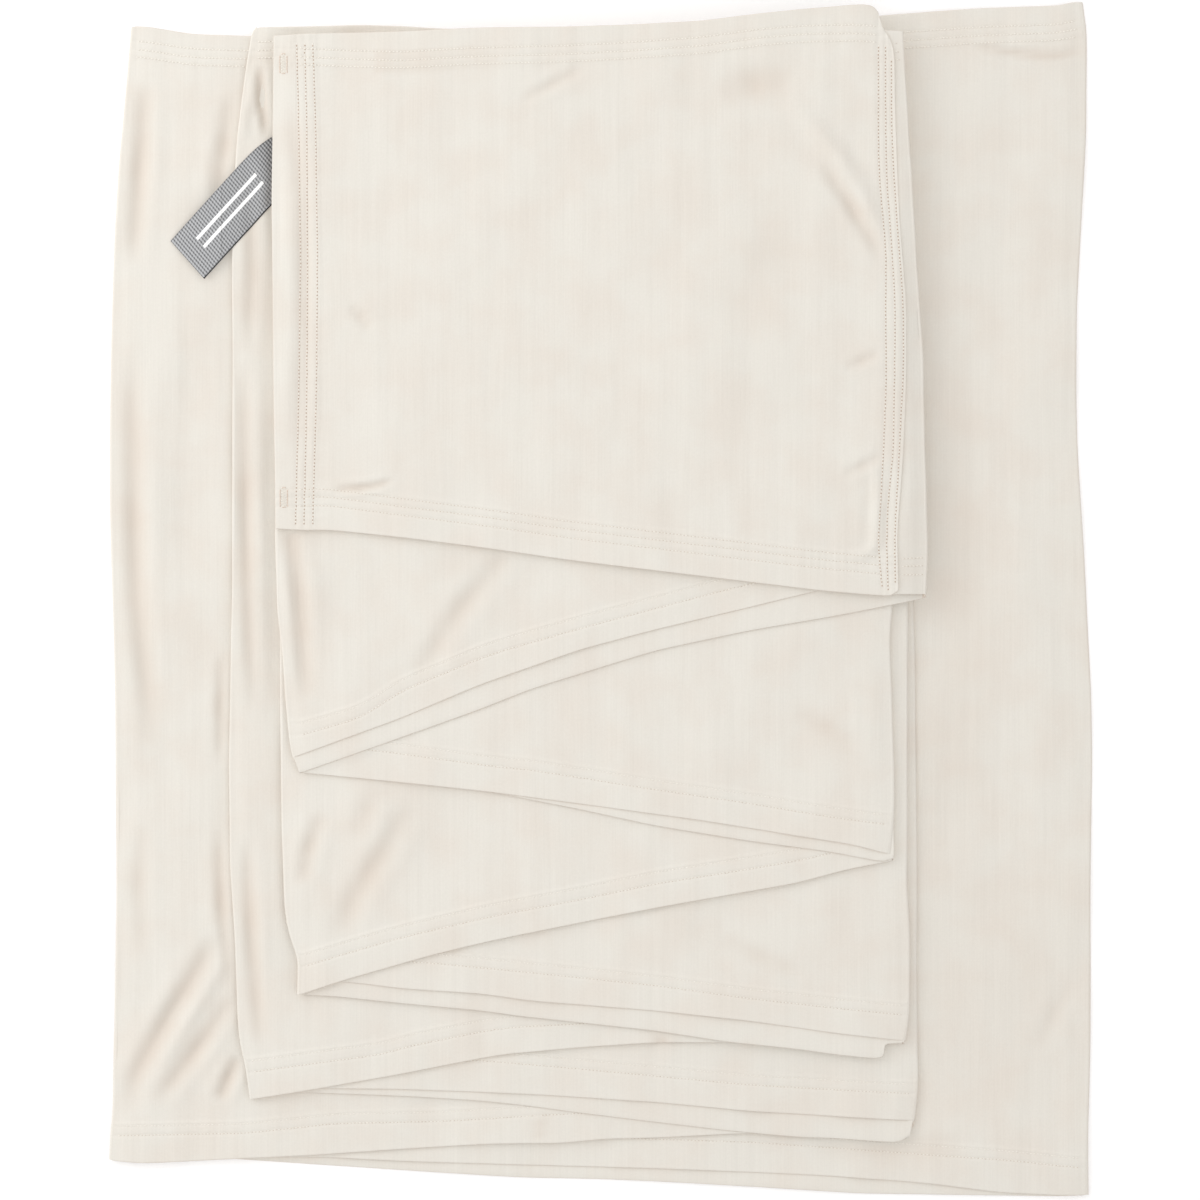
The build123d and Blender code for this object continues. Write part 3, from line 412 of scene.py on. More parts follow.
C = {}
CRISP = 90.0                                               # leaf 5's lower ply ends in a square corner
for k in range(0, 10):
    for ply in "UL":
        if k == 0 and ply == "L":
            continue
        low = corner((LOW_U if ply == "U" else LOW_L)[k], RIGHT[k])
        bottom = even(low, 5.0, 1.2, CRISP) if (k, ply) == (5, "L") else even(low, 5.0)
        top = even(TOP[k], 4.0)
        down = 0.7 if ply == "L" else 0.0
        top = top - np.array([0, down])
        shift_l = ROLL if k >= 2 else (RIM if ply == "U" else RIM + 0.5)
        shift_r = -ROLL if k >= 1 else -0.1
        left = side([(x, y - down) for x, y in LEFT[k]], tuple(low[0]))
        right = side([(x, y - down) for x, y in RIGHT[k]], tuple(low[-1]))
        left, right = left + [shift_l, 0], right + [shift_r, 0]

        def fit(curve, a, b):
            """The curve moved so that its ends meet the side curves."""
            n = np.linspace(0, 1, len(curve))[:, None]
            return curve + (a - curve[0]) * (1 - n) + (b - curve[-1]) * n

        left[0, 1], right[0, 1] = top[0, 1], top[-1, 1]
        bottom, top = fit(bottom, left[-1], right[-1]), fit(top, left[0], right[0])
        C[k, ply] = {"T": top, "B": bottom, "L": left, "R": right}


def coons(c, u, v):
    t, b, l, r = at(c["T"], u), at(c["B"], u), at(c["L"], v), at(c["R"], v)
    uu, vv = u[None, :, None], v[:, None, None]
    return ((1 - vv) * t[None] + vv * b[None] + (1 - uu) * l[:, None] + uu * r[:, None]
            - ((1 - uu) * (1 - vv) * t[0] + uu * (1 - vv) * t[-1] + (1 - uu) * vv * b[0] + uu * vv * b[-1]))


# ---------------------------------------------------------------- height fields
def polygon(k, ply="U"):
    c = C[k, ply]
    return np.vstack([c["T"][::4], c["R"][::4], c["B"][::-4], c["L"][::-4]])


cover, EXPOSED = np.zeros(GXX.shape), {}
for k in range(0, 10):
    soft = blur(np.clip(cover, 0, 1), 2.5, 2.5)
    EXPOSED[k] = sstep(1 - 2.2 * soft)
    cover = np.maximum(cover, inside(polygon(k)))
    if k > 0:
        cover = np.maximum(cover, inside(polygon(k, "L")))

COMMON = 0.42 + 0.17 * noise(3, 15, 17) + 0.05 * noise(4, 6, 9) + 0.022 * noise(5, 2.2, 26)
COMMON = np.clip(COMMON, 0.02, 1.2)
WAVE = {k: EXPOSED[k] * (0.26 * noise(20 + k, 8, 13) + 0.065 * noise(40 + k, 2.6, 20)) for k in range(0, 10)}
# Leaves 1 and 2 reach out past the folds under them, and sag there.
overhang = 3.0 * sstep((GXX - 133.0) / 16.0)

FIELD, PAINTED_SHADE_FIELD = {}, {}
for k in range(0, 10):
    f, painted_shade_amount = COMMON + WAVE[k], np.zeros(GXX.shape)
    for leaf, pts, h, w in CREASES:
        if leaf == k:
            d, fade = to_line(pts, GXX, GYY)
            a = (2.6 * h if h < 0 else 2.0 * h) * fade
            f = f + EXPOSED[k] * a * (np.exp(-0.5 * (d / w) ** 2) - 0.40 * np.exp(-0.5 * ((d - 2.5 * w) / (1.1 * w)) ** 2))
            # Painted shade: the crease valleys are tinted darker and warmer, by their depth.
            painted_shade_amount = np.maximum(painted_shade_amount, np.clip(-a, 0, 1.2) * np.exp(-0.5 * (d / (1.25 * w)) ** 2) * EXPOSED[k])
    if k <= 2:
        f = f - overhang
    if k == 0:                                             # the mouth lies down on the leaf
        f = f - 0.50 * np.exp(-0.5 * ((GXX + 146.5) / 3.5) ** 2)
    if k:
        # The cloth rounds over towards the fold.
        c = C[k, "U"]["R" if k % 2 else "L"]
        d = np.abs(GXX - np.interp(-GYY, -c[:, 1], c[:, 0]))
        f = f - (0.30 if k == 9 else 0.60) * np.exp(-0.5 * (d / 3.2) ** 2)
    if k == 0:
        # The stitching of the upper hem overlaps itself here, and the band beside it gets a painted shade, darker and
        # warmer.
        row = np.interp(GXX, [p[0] for p in TOP_ROW[0]], [p[1] for p in TOP_ROW[0]])
        band = sstep((row + 1.5 - GYY) / 1.5) * sstep((GYY - row + 10.5) / 1.5)
        painted_shade_amount = np.maximum(painted_shade_amount, 0.5 * band * (GXX > -101.5) * sstep((-20 - GXX) / 70))
    FIELD[k], PAINTED_SHADE_FIELD[k] = f, painted_shade_amount

ROWS = {}
for k in range(0, 10):
    if k != 1:
        ROWS[k] = (lines(LOW_ROW[k], 5.0), lines(TOP_ROW[k], 5.0))
LOW_STEPS = {0: (0, -3.5, -7.4), 2: (0, -5.2), 4: (0, -5.2), 6: (0, -5.0)}
TOP_STEPS = (0, -3.8, -7.2)


def hem(k, x, y):
    """Extra height of the upper surface at the hems and stitched rows."""
    h = np.zeros(x.shape)
    if k in ROWS:
        low, top = ROWS[k]
        d = y - np.interp(x, low[:, 0], low[:, 1])
        h += 0.30 * sstep(0.5 - d / 1.4)
        h += 0.34 * np.exp(-0.5 * ((d - 0.8) / 0.60) ** 2)
        for s in LOW_STEPS.get(k, (0, -4.2)):
            h -= (0.20 if s else 0.14) * np.exp(-0.5 * ((d - s) / 0.50) ** 2)
            h += 0.05 * np.exp(-0.5 * ((d - s) / 1.6) ** 2) * np.sin(x * 1.9 + 2.0 * np.sin(x * 0.31 + k))
        d = y - np.interp(x, top[:, 0], top[:, 1])
        h += 0.28 * sstep(0.5 + (d + 7.9) / 1.4)
        for s in TOP_STEPS:
            h -= 0.17 * np.exp(-0.5 * ((d - s) / 0.50) ** 2)
            h += 0.06 * np.exp(-0.5 * ((d - s) / 1.7) ** 2) * np.sin(x * 1.7 + s + 2.0 * np.sin(x * 0.27 + k))
    if k == 0:
        for i, row in enumerate(MOUTH_C):
            d = x - np.interp(-y, -row[:, 1], row[:, 0])
            h -= 0.20 * np.exp(-0.5 * (d / 0.50) ** 2)
            h += 0.05 * np.exp(-0.5 * (d / 1.6) ** 2) * np.sin(y * 1.8 + 2.0 * np.sin(y * 0.29))
            if i == 2:
                h += 0.30 * sstep(0.5 - (d - 1.2) / 1.6)
                h += 0.06 * np.exp(-0.5 * ((d - 2.5) / 2.5) ** 2) * np.sin(y * 0.9 + 1.7 * np.sin(y * 0.17))
        for i, row in enumerate(END_C):
            d = x - np.interp(-y, -row[:, 1], row[:, 0])
            h -= 0.22 * np.exp(-0.5 * (d / 0.50) ** 2)
            if i == 1:                                     # the seam puckers the cloth
                h += 0.13 * np.exp(-0.5 * (d / 4.5) ** 2) * np.sin(y * 0.62 + 1.6 * np.sin(y * 0.13) + 0.25 * d)
    return h


MOUTH_C = [lines(r, 8.0) for r in MOUTH]
END_C = [lines(r, 8.0) for r in END]


def surface(k, ply, x, y, upper=True):
    """Height of a ply's upper or lower surface, in mm."""
    base = Z[k] + (UP if ply == "U" and k else 0.0) + (PLY if upper else 0.0)
    h = base + sample(FIELD[k], x, y)
    if upper and ply == "U":
        h = h + hem(k, x, y)
    return h


def grid_sheet(name, k, ply, u, v, rims):
    """One ply as a closed sheet. rims: how far the top, bottom, left and right edges round out, in mm."""
    p = coons(C[k, ply], u, v)
    nv, nu = p.shape[:2]
    x, y = p[..., 0], p[..., 1]
    zt, zb = surface(k, ply, x, y, True), surface(k, ply, x, y, False)
    zb = np.minimum(zb, zt - 0.3)
    idx = np.arange(nv * nu).reshape(nv, nu)
    loop = np.r_[idx[-1, :], idx[-2::-1, -1], idx[0, -2::-1], idx[1:-1, 0]]
    rim_at = np.zeros((nv, nu))
    rim_at[-1], rim_at[0] = rims[1], rims[0]
    rim_at[:, 0], rim_at[:, -1] = rims[2], rims[3]
    for a, b in ((0, 0), (0, -1), (-1, 0), (-1, -1)):
        sides = (rims[0] if a == 0 else rims[1], rims[2] if b == 0 else rims[3])
        rim_at[a, b] = min(sides)
    xy = np.c_[x.ravel(), y.ravel()]
    lp = xy[loop]
    tan = np.roll(lp, -1, 0) - np.roll(lp, 1, 0)
    nrm = np.c_[tan[:, 1], -tan[:, 0]]
    nrm /= np.maximum(np.linalg.norm(nrm, axis=1), 1e-9)[:, None]
    r = rim_at.ravel()[loop][:, None]
    lt, lb = zt.ravel()[loop], zb.ravel()[loop]
    zc, zh = (lt + lb) / 2, (lt - lb) / 2
    verts = [np.c_[xy, zt.ravel()], np.c_[xy, zb.ravel()]]
    uvs = [xy, xy]
    for th in (50, 0, -50):
        c, s = math.cos(math.radians(th)), math.sin(math.radians(th))
        ring = lp + nrm * r * c
        verts.append(np.c_[ring, zc + zh * s])
        uvs.append(lp + nrm * r * (1 - s))
    n = nv * nu
    rings = [loop, *(2 * n + i * len(loop) + np.arange(len(loop)) for i in range(3)), n + loop]
    a, b, c_, d = idx[1:, :-1], idx[1:, 1:], idx[:-1, 1:], idx[:-1, :-1]
    quads = [np.stack([a, b, c_, d], -1).reshape(-1, 4), np.stack([a, d, c_, b], -1).reshape(-1, 4) + n]
    for hi, lo in zip(rings, rings[1:]):
        quads.append(np.stack([hi, lo, np.roll(lo, -1), np.roll(hi, -1)], -1))
    ob = mesh_object(name, np.vstack(verts), np.vstack(quads), np.vstack(uvs), sharp=True)
    tone = ob.data.attributes.new("PaintedShade", "FLOAT", "POINT")
    painted_shade = sample(PAINTED_SHADE_FIELD[k], np.vstack(verts)[:, 0], np.vstack(verts)[:, 1]) if ply == "U" else np.zeros(len(ob.data.vertices))
    for i, value in enumerate((0.6, 2.4, 2.8)):               # painted shade: the rim rings are tinted warm and darker, as light turns warm in under a rounded edge
        painted_shade[2 * n + i * len(loop):2 * n + (i + 1) * len(loop)] = value
    tone.data.foreach_set("value", painted_shade.astype(np.float32))
    area = float(0.5 * abs((lp[:, 0] * np.roll(lp[:, 1], -1) - lp[:, 1] * np.roll(lp[:, 0], -1)).sum())) * 1e-6
    size = (lp.max(0) - lp.min(0)) * MM
    return ob, area, size


def fold_strip(name, top, low, side_sign, bulge, n=160, m=12, t=None):
    """A rolled fold. top and low: functions of 0..1 along the fold that give (x, y, z of the ply's middle)."""
    t = t or PLY
    q = np.linspace(0, 1, n)
    a, b = top(q), low(q)
    flat = 0.22
    th = np.r_[90, np.linspace(90, -90, m - 2), -90]
    rad = np.radians(th)
    s, c = np.sin(rad)[None, :, None], np.cos(rad)[None, :, None]
    ease = (flat + (bulge - flat) * np.cos(rad)) / bulge
    ease[0] = ease[-1] = 0.0
    reach = ease[None, :, None]
    f = (1 + s) / 2
    mid = a[:, None] * f + b[:, None] * (1 - f)
    tan = np.gradient(((a + b) / 2)[:, :2], axis=0)
    nrm = np.c_[tan[:, 1], -tan[:, 0]] * 1.0
    nrm /= np.linalg.norm(nrm, axis=1)[:, None]
    nrm *= np.sign(nrm[:, :1] * side_sign)
    out3 = np.concatenate([nrm, np.zeros((n, 1))], 1)[:, None]
    zc = (a[:, 2] + b[:, 2]) / 2
    zh = (a[:, 2] - b[:, 2]) / 2
    mid[..., 2] = zc[:, None] + zh[:, None] * np.sin(rad)[None]
    wob = 1 + 0.10 * np.sin(q * 23 + side_sign) + 0.05 * np.sin(q * 57)
    mid = mid + out3 * (bulge * wob)[:, None, None] * reach
    dirn = out3 * c + np.array([0, 0, 1.0])[None, None] * s
    outer, inner = mid + dirn * (t / 2), mid - dirn * (t / 2)
    sec = np.concatenate([outer, inner[:, ::-1]], 1)
    k = 2 * m
    idx = np.arange(n * k).reshape(n, k)
    nxt = np.roll(idx, -1, 1)
    quads = np.stack([idx[:-1], idx[1:], nxt[1:], nxt[:-1]], -1).reshape(-1, 4)
    caps = []
    for row, flip in ((idx[0], False), (idx[-1], True)):
        o, i = row[:m], row[m:][::-1]
        cq = np.stack([o[:-1], i[:-1], i[1:], o[1:]], -1)
        caps.append(cq[:, ::-1] if flip else cq)
    quads = np.vstack([quads, *caps])
    if side_sign * (a[-1, 1] - a[0, 1]) > 0:
        quads = quads[:, ::-1]
    arc = np.cumsum(np.r_[0, np.full(m - 1, math.pi * bulge / (m - 1))])
    uo = np.stack([np.broadcast_to(a[:, :1] + side_sign * arc[None], (n, m)), np.broadcast_to(a[:, 1:2], (n, m))], -1)
    uv = np.concatenate([uo, uo[:, ::-1]], 1).reshape(-1, 2)
    ob = mesh_object(name, sec.reshape(-1, 3), quads, uv, sharp=True)
    # Painted shade: the roll's underside is tinted warm and darker.
    painted_shade = 1.7 * sstep((60 - th) / 80)
    ob.data.attributes.new("PaintedShade", "FLOAT", "POINT").data.foreach_set(
        "value", np.tile(np.r_[painted_shade, painted_shade[::-1]], n).astype(np.float32))
    w = sstep((1 - np.sin(rad)) / 2)
    weight = np.tile(np.r_[w, w[::-1]], n)
    return ob, weight


def set_blend(ob):
    """Bakes the object's transform into its mesh."""
    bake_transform(ob)


# ---------------------------------------------------------------- stitches
def along(curve, pitch, seed, start=0.0, stop=1.0):
    """Centres and directions of stitches along a row."""
    seg = np.r_[0, np.cumsum(np.linalg.norm(np.diff(curve, axis=0), axis=1))]
    r = np.random.default_rng(seed)
    n = int(seg[-1] * (stop - start) / pitch)
    s = seg[-1] * start + (np.arange(n) + 0.5) * pitch + r.normal(0, 0.06, n)
    p = np.c_[np.interp(s, seg, curve[:, 0]), np.interp(s, seg, curve[:, 1])]
    e = np.c_[np.interp(s + 0.4, seg, curve[:, 0]), np.interp(s + 0.4, seg, curve[:, 1])]
    d = e - p
    d /= np.maximum(np.linalg.norm(d, axis=1), 1e-9)[:, None]
    turn = r.normal(0, 0.05, n)
    d = np.c_[d[:, 0] * np.cos(turn) - d[:, 1] * np.sin(turn), d[:, 0] * np.sin(turn) + d[:, 1] * np.cos(turn)]
    return p + np.c_[-d[:, 1], d[:, 0]] * r.normal(0, 0.05, n)[:, None], d


CS_S = np.array([-0.72, -0.25, 0.25, 0.72])
CS_R = np.array([0.72, 1.0, 1.0, 0.72])


def capsules(p, d, z, length, radius, dip=0.14, sides=6):
    """Stitches: small rounded threads whose ends dip into the cloth. Returns vertices and triangles."""
    n = len(p)
    ang = np.arange(sides) * 2 * math.pi / sides
    nr = len(CS_S)
    loc = np.zeros((nr * sides + 2, 3))
    for i, (s, r) in enumerate(zip(CS_S, CS_R)):
        loc[i * sides:(i + 1) * sides] = np.c_[np.full(sides, s * length / 2), radius * r * np.cos(ang),
                                               radius * r * np.sin(ang) - dip * s * s]
    loc[-2], loc[-1] = (-length / 2, 0, -dip * 1.1), (length / 2, 0, -dip * 1.1)
    v = np.empty((n, len(loc), 3))
    v[..., 0] = p[:, None, 0] + d[:, None, 0] * loc[None, :, 0] - d[:, None, 1] * loc[None, :, 1]
    v[..., 1] = p[:, None, 1] + d[:, None, 1] * loc[None, :, 0] + d[:, None, 0] * loc[None, :, 1]
    v[..., 2] = z[:, None] + loc[None, :, 2]
    tri = []
    for i in range(nr - 1):
        for j in range(sides):
            a, b = i * sides + j, i * sides + (j + 1) % sides
            c, e = a + sides, b + sides
            tri += [(a, b, e), (a, e, c)]
    for j in range(sides):
        tri += [(nr * sides, (j + 1) % sides, j), (nr * sides + 1, (nr - 1) * sides + j, (nr - 1) * sides + (j + 1) % sides)]
    tri = np.array(tri)[:, ::-1]
    return v.reshape(-1, 3), (tri[None] + (np.arange(n) * len(loc))[:, None, None]).reshape(-1, 3)


def thread_object(name, sets):
    vs, fs, off = [], [], 0
    for v, f in sets:
        vs.append(v)
        fs.append(f + off)
        off += len(v)
    v = np.vstack(vs)
    return mesh_object(name, v, np.vstack(fs), v[:, :2])


def row_on(k, curve, seed, pitch=1.6, length=1.12, radius=0.215, ply="U", lift=0.09, hole=0.19):
    """The stitches of a row, and dark dots of painted shade for the needle holes between them."""
    p, d = along(curve, pitch, seed)
    z = surface(k, ply, p[:, 0], p[:, 1]) + lift
    q = p + d * pitch / 2
    zq = surface(k, ply, q[:, 0], q[:, 1]) + 0.02
    return capsules(p, d, z, length, radius), capsules(q, d, zq + 0.6 * (hole - 0.19), 2.3 * hole, hole, 0.05, 6)


def shifted(curve, dy):
    """A row moved down by dy."""
    return curve + np.array([0.0, dy])

# ---------------------------------------------------------------- stacking: nothing sinks through what it lies on
ORDER = [(0, "U")] + [(k, p) for k in range(1, 10) for p in "UL"]
BOTTOM, roof = {}, np.full(GXX.shape, 1e3)
for k, ply in ORDER:
    base = Z[k] + (UP if ply == "U" and k else 0.0)
    extra = FIELD[k] if ply == "U" else COMMON - (overhang if k <= 2 else 0.0)
    n = base + extra
    h = np.minimum(n, roof - PLY - 0.02)
    h = n + blur(h - n, 1.2, 1.2)
    h = np.maximum(h, 0.03)
    BOTTOM[k, ply] = h
    roof = np.where(inside(polygon(k, ply)) > 0.5, np.minimum(roof, h), roof)


def surface(k, ply, x, y, upper=True):
    """Height of a ply's upper or lower surface, in mm."""
    h = sample(BOTTOM[k, ply], x, y)
    if upper:
        h = h + PLY
        if ply == "U":
            h = h + hem(k, x, y)
    return h


# ---------------------------------------------------------------- materials
def srgb(r, g, b):
    return tuple((c / 255 / 12.92 if c <= 10 else ((c / 255 + 0.055) / 1.055) ** 2.4) for c in (r, g, b)) + (1.0,)


class Nodes:
    def __init__(self, name):
        self.mat = bpy.data.materials.new(name)
        self.mat.use_nodes = True
        self.t = self.mat.node_tree
        self.t.nodes.clear()
        self.out = self.t.nodes.new("ShaderNodeOutputMaterial")
        self.bsdf = self.t.nodes.new("ShaderNodeBsdfPrincipled")
        self.t.links.new(self.bsdf.outputs[0], self.out.inputs[0])

    def put(self, socket, value):
        if isinstance(value, bpy.types.NodeSocket):
            self.t.links.new(value, socket)
        else:
            socket.default_value = value

    def math(self, op, *args):
        n = self.t.nodes.new("ShaderNodeMath")
        n.operation = op
        for s, a in zip(n.inputs, args):
            self.put(s, a)
        return n.outputs[0]

    def uv(self):
        n = self.t.nodes.new("ShaderNodeUVMap")
        n.uv_map = "Cloth"
        s = self.t.nodes.new("ShaderNodeSeparateXYZ")
        self.t.links.new(n.outputs[0], s.inputs[0])
        return s.outputs[0], s.outputs[1]

    def vec(self, x, y, z=0.0):
        n = self.t.nodes.new("ShaderNodeCombineXYZ")
        for s, a in zip(n.inputs, (x, y, z)):
            self.put(s, a)
        return n.outputs[0]

    def noise(self, vector, scale=1.0, detail=2.0, rough=0.5):
        n = self.t.nodes.new("ShaderNodeTexNoise")
        self.t.links.new(vector, n.inputs["Vector"])
        n.inputs["Scale"].default_value = scale
        n.inputs["Detail"].default_value = detail
        n.inputs["Roughness"].default_value = rough
        return n.outputs[0]

    def ramp(self, value, a, b, lo=0.3, hi=0.7):
        """Colour a to colour b as value goes from lo to hi."""
        m = self.t.nodes.new("ShaderNodeMapRange")
        self.put(m.inputs[0], value)
        m.inputs[1].default_value, m.inputs[2].default_value = lo, hi
        mix = self.t.nodes.new("ShaderNodeMix")
        mix.data_type = "RGBA"
        self.t.links.new(m.outputs[0], mix.inputs[0])
        for s, v in ((mix.inputs[6], a), (mix.inputs[7], b)):
            self.put(s, v)
        return mix.outputs[2]

    def bump(self, height, strength, distance):
        n = self.t.nodes.new("ShaderNodeBump")
        n.inputs["Strength"].default_value = strength
        n.inputs["Distance"].default_value = distance
        self.t.links.new(height, n.inputs["Height"])
        self.t.links.new(n.outputs[0], self.bsdf.inputs["Normal"])

    def finish(self, color, rough, sheen=0.0, spec=0.3):
        self.put(self.bsdf.inputs["Base Color"], color)
        self.bsdf.inputs["Roughness"].default_value = rough
        self.bsdf.inputs["Specular IOR Level"].default_value = spec
        self.bsdf.inputs["Sheen Weight"].default_value = sheen
        self.bsdf.inputs["Sheen Roughness"].default_value = 0.5
        return self.mat


def knit(name, light, dark, warm, painted_shade_colour):
    """Fine single jersey: wales run along the wrap's height, with long faint streaks."""
    n = Nodes(name)
    u, v = n.uv()
    streak = n.noise(n.vec(n.math("MULTIPLY", u, 1500.0), n.math("MULTIPLY", v, 26.0)), 1.0, 2.0, 0.6)
    broad = n.noise(n.vec(n.math("MULTIPLY", u, 330.0), n.math("MULTIPLY", v, 7.0)), 1.0, 2.0, 0.5)
    cloud = n.noise(n.vec(u, v), 42.0, 3.0, 0.5)
    slub = n.noise(n.vec(n.math("MULTIPLY", u, 900.0), n.math("MULTIPLY", v, 900.0)), 1.0, 1.0, 0.5)
    t = n.math("ADD", n.math("ADD", n.math("MULTIPLY", streak, 0.42), n.math("MULTIPLY", broad, 0.30)),
               n.math("MULTIPLY", slub, 0.28))
    base = n.ramp(t, dark, light, 0.34, 0.66)
    tint = n.ramp(cloud, warm, light, 0.35, 0.6)
    mix = n.t.nodes.new("ShaderNodeMix")
    mix.data_type = "RGBA"
    mix.inputs[0].default_value = 0.34
    n.t.links.new(base, mix.inputs[6])
    n.t.links.new(tint, mix.inputs[7])
    # Painted shade: light that has bounced about in a hollow comes back warmer, so hollows, rims and roll undersides
    # are tinted warmer and darker here.
    painted_shade_amount = n.t.nodes.new("ShaderNodeAttribute")
    painted_shade_amount.attribute_name = "PaintedShade"
    painted_shade = n.t.nodes.new("ShaderNodeMix")
    painted_shade.data_type = "RGBA"
    n.t.links.new(n.math("MULTIPLY", painted_shade_amount.outputs["Fac"], 0.27), painted_shade.inputs[0])
    n.t.links.new(mix.outputs[2], painted_shade.inputs[6])
    painted_shade.inputs[7].default_value = painted_shade_colour
    # Stitch legs: a V in every wale, one course every 0.55 mm.
    w = n.math("FRACT", n.math("MULTIPLY", u, 1 / 0.0007))
    leg = n.math("ABSOLUTE", n.math("SUBTRACT", w, 0.5))
    groove = n.math("SUBTRACT", 1.0, n.math("POWER", n.math("MULTIPLY", leg, 2.0), 3.0))
    course = n.math("SINE", n.math("MULTIPLY", n.math("ADD", n.math("MULTIPLY", v, 1 / 0.00055),
                                                        n.math("MULTIPLY", leg, 0.9)), 2 * math.pi))
    height = n.math("ADD", n.math("MULTIPLY", groove, 0.6), n.math("MULTIPLY", course, 0.2))
    height = n.math("ADD", height, n.math("MULTIPLY", t, 1.2))
    n.bump(height, 0.35, 0.00010)
    return n.finish(painted_shade.outputs[2], 0.92, 0.12, 0.18)


def thread(name, a, b):
    n = Nodes(name)
    u, v = n.uv()
    grain = n.noise(n.vec(u, v), 2600.0, 2.0, 0.5)
    n.bump(grain, 0.5, 0.00006)
    return n.finish(n.ramp(grain, a, b), 0.7, 0.1, 0.3)


def ribbon(name):
    """Grey grosgrain: ribs across the ribbon, with two woven white lines."""
    n = Nodes(name)
    s, t = n.uv()                                          # along and across, in metres
    rib = n.math("ABSOLUTE", n.math("SUBTRACT", n.math("FRACT", n.math("MULTIPLY", s, 1 / 0.00144)), 0.5))
    fine = n.math("SINE", n.math("MULTIPLY", n.math("ADD", t, n.math("MULTIPLY", s, 0.35)), 2 * math.pi / 0.0014))
    fuzz = n.noise(n.vec(s, t), 1500.0, 2.0, 0.5)
    tone = n.math("ADD", n.math("ADD", n.math("MULTIPLY", rib, 1.55), n.math("MULTIPLY", fine, 0.13)),
                  n.math("MULTIPLY", n.math("SUBTRACT", fuzz, 0.5), 0.5))
    # Painted shade: the ribbon grows darker towards the pouch.
    painted_shade = n.math("MULTIPLY", n.math("MAXIMUM", n.math("SUBTRACT", s, 0.050), 0.0), 13.0)
    grey = n.ramp(n.math("ADD", tone, painted_shade), srgb(184, 185, 187), srgb(88, 89, 91), 0.10, 0.80)
    near = n.math("ABSOLUTE", n.math("SUBTRACT", n.math("ABSOLUTE", n.math("SUBTRACT", t, 0.0108)), 0.0024))
    line = n.math("LESS_THAN", near, 0.00075)
    run = n.math("MULTIPLY", n.math("GREATER_THAN", s, 0.0095), n.math("LESS_THAN", s, 0.0490))
    mix = n.t.nodes.new("ShaderNodeMix")
    mix.data_type = "RGBA"
    n.t.links.new(n.math("MULTIPLY", line, run), mix.inputs[0])
    n.t.links.new(grey, mix.inputs[6])
    mix.inputs[7].default_value = srgb(246, 246, 246)
    under = n.t.nodes.new("ShaderNodeMix")                 # the loop's back half, seen on the sloped rim, with a painted shade darker than the ribbon itself
    under.data_type = "RGBA"
    n.t.links.new(n.math("GREATER_THAN", t, 0.02255), under.inputs[0])
    n.t.links.new(mix.outputs[2], under.inputs[6])
    under.inputs[7].default_value = srgb(62, 62, 64)
    n.bump(n.math("ADD", n.math("MULTIPLY", rib, -1.0), n.math("MULTIPLY", fine, 0.12)), 0.4, 0.00012)
    return n.finish(under.outputs[2], 0.62, 0.05, 0.35)


# The last knit colour is the painted shade of hollows, rims and roll undersides.
KNIT = knit("knit_fabric", srgb(226, 222, 214), srgb(217, 213, 205), srgb(222, 211, 200), srgb(200, 180, 163))
THREAD = thread("thread_cream", srgb(238, 234, 226), srgb(229, 224, 215))
THREAD_TAN = thread("thread_warm", srgb(226, 210, 197), srgb(208, 190, 175))
# Painted shade: dark dots stand in for the shade inside the needle holes.
HOLE_SHADE_SOFT = thread("needle_hole_shade_soft", srgb(214, 202, 190), srgb(200, 187, 174))
HOLE_SHADE_WARM = thread("needle_hole_shade_warm", srgb(196, 176, 160), srgb(178, 158, 142))
RIBBON = ribbon("label_ribbon")


def dress(ob, mat, nodes=()):
    ob.data.materials.append(mat)
    if nodes:
        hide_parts(*nodes)
    return ob


# ---------------------------------------------------------------- plies
def length(c):
    return float(np.linalg.norm(np.diff(c, axis=0), axis=1).sum())


def uv_knots(k, ply):
    c = C[k, ply]
    wide, high = max(length(c["T"]), length(c["B"])), max(length(c["L"]), length(c["R"]))
    if k == 0:
        return (knots(wide, 1.5, [(0, 22, 0.75), (wide - 42, wide, 0.8)]),
                knots(high, 1.6, [(0, 17, 0.5), (high - 21, high, 0.5)]))
    if k == 8 and ply == "U":
        return (knots(wide, 5.0, [(0, 78, 1.2)]),
                knots(high, 2.6, [(0, 17, 0.6), (high - 110, high - 22, 1.6), (high - 22, high, 0.5)]))
    if k == 9 and ply == "U":
        return (knots(wide, 5.0, [(wide - 88, wide, 1.6)]),
                knots(high, 2.6, [(0, 17, 0.6), (high - 24, high, 0.5)]))
    if k == 6 and ply == "U":
        return (knots(wide, 2.6, [(0, 26, 0.9)]),
                knots(high, 3.0, [(0, 17, 0.6), (high - 110, high - 22, 2.0), (high - 22, high, 0.5)]))
    if ply == "U":
        return (knots(wide, 2.4, [(0, 6, 1.0)]),
                knots(high, 5.0, [(0, 16, 1.2), (high - 120, high - 22, 2.0), (high - 22, high, 0.5)]))
    return (knots(wide, 3.5, [(0, 6, 1.2), (wide - 18, wide, 0.7)] if k == 5 else [(0, 6, 1.2)]),
            knots(high, 6.0, [(0, 16, 2.0), (high - 60, high, 2.0)]))


def fold_side(k):
    """+1 where leaf k joins leaf k+1 on the right, -1 on the left."""
    return 1 if k % 2 else -1


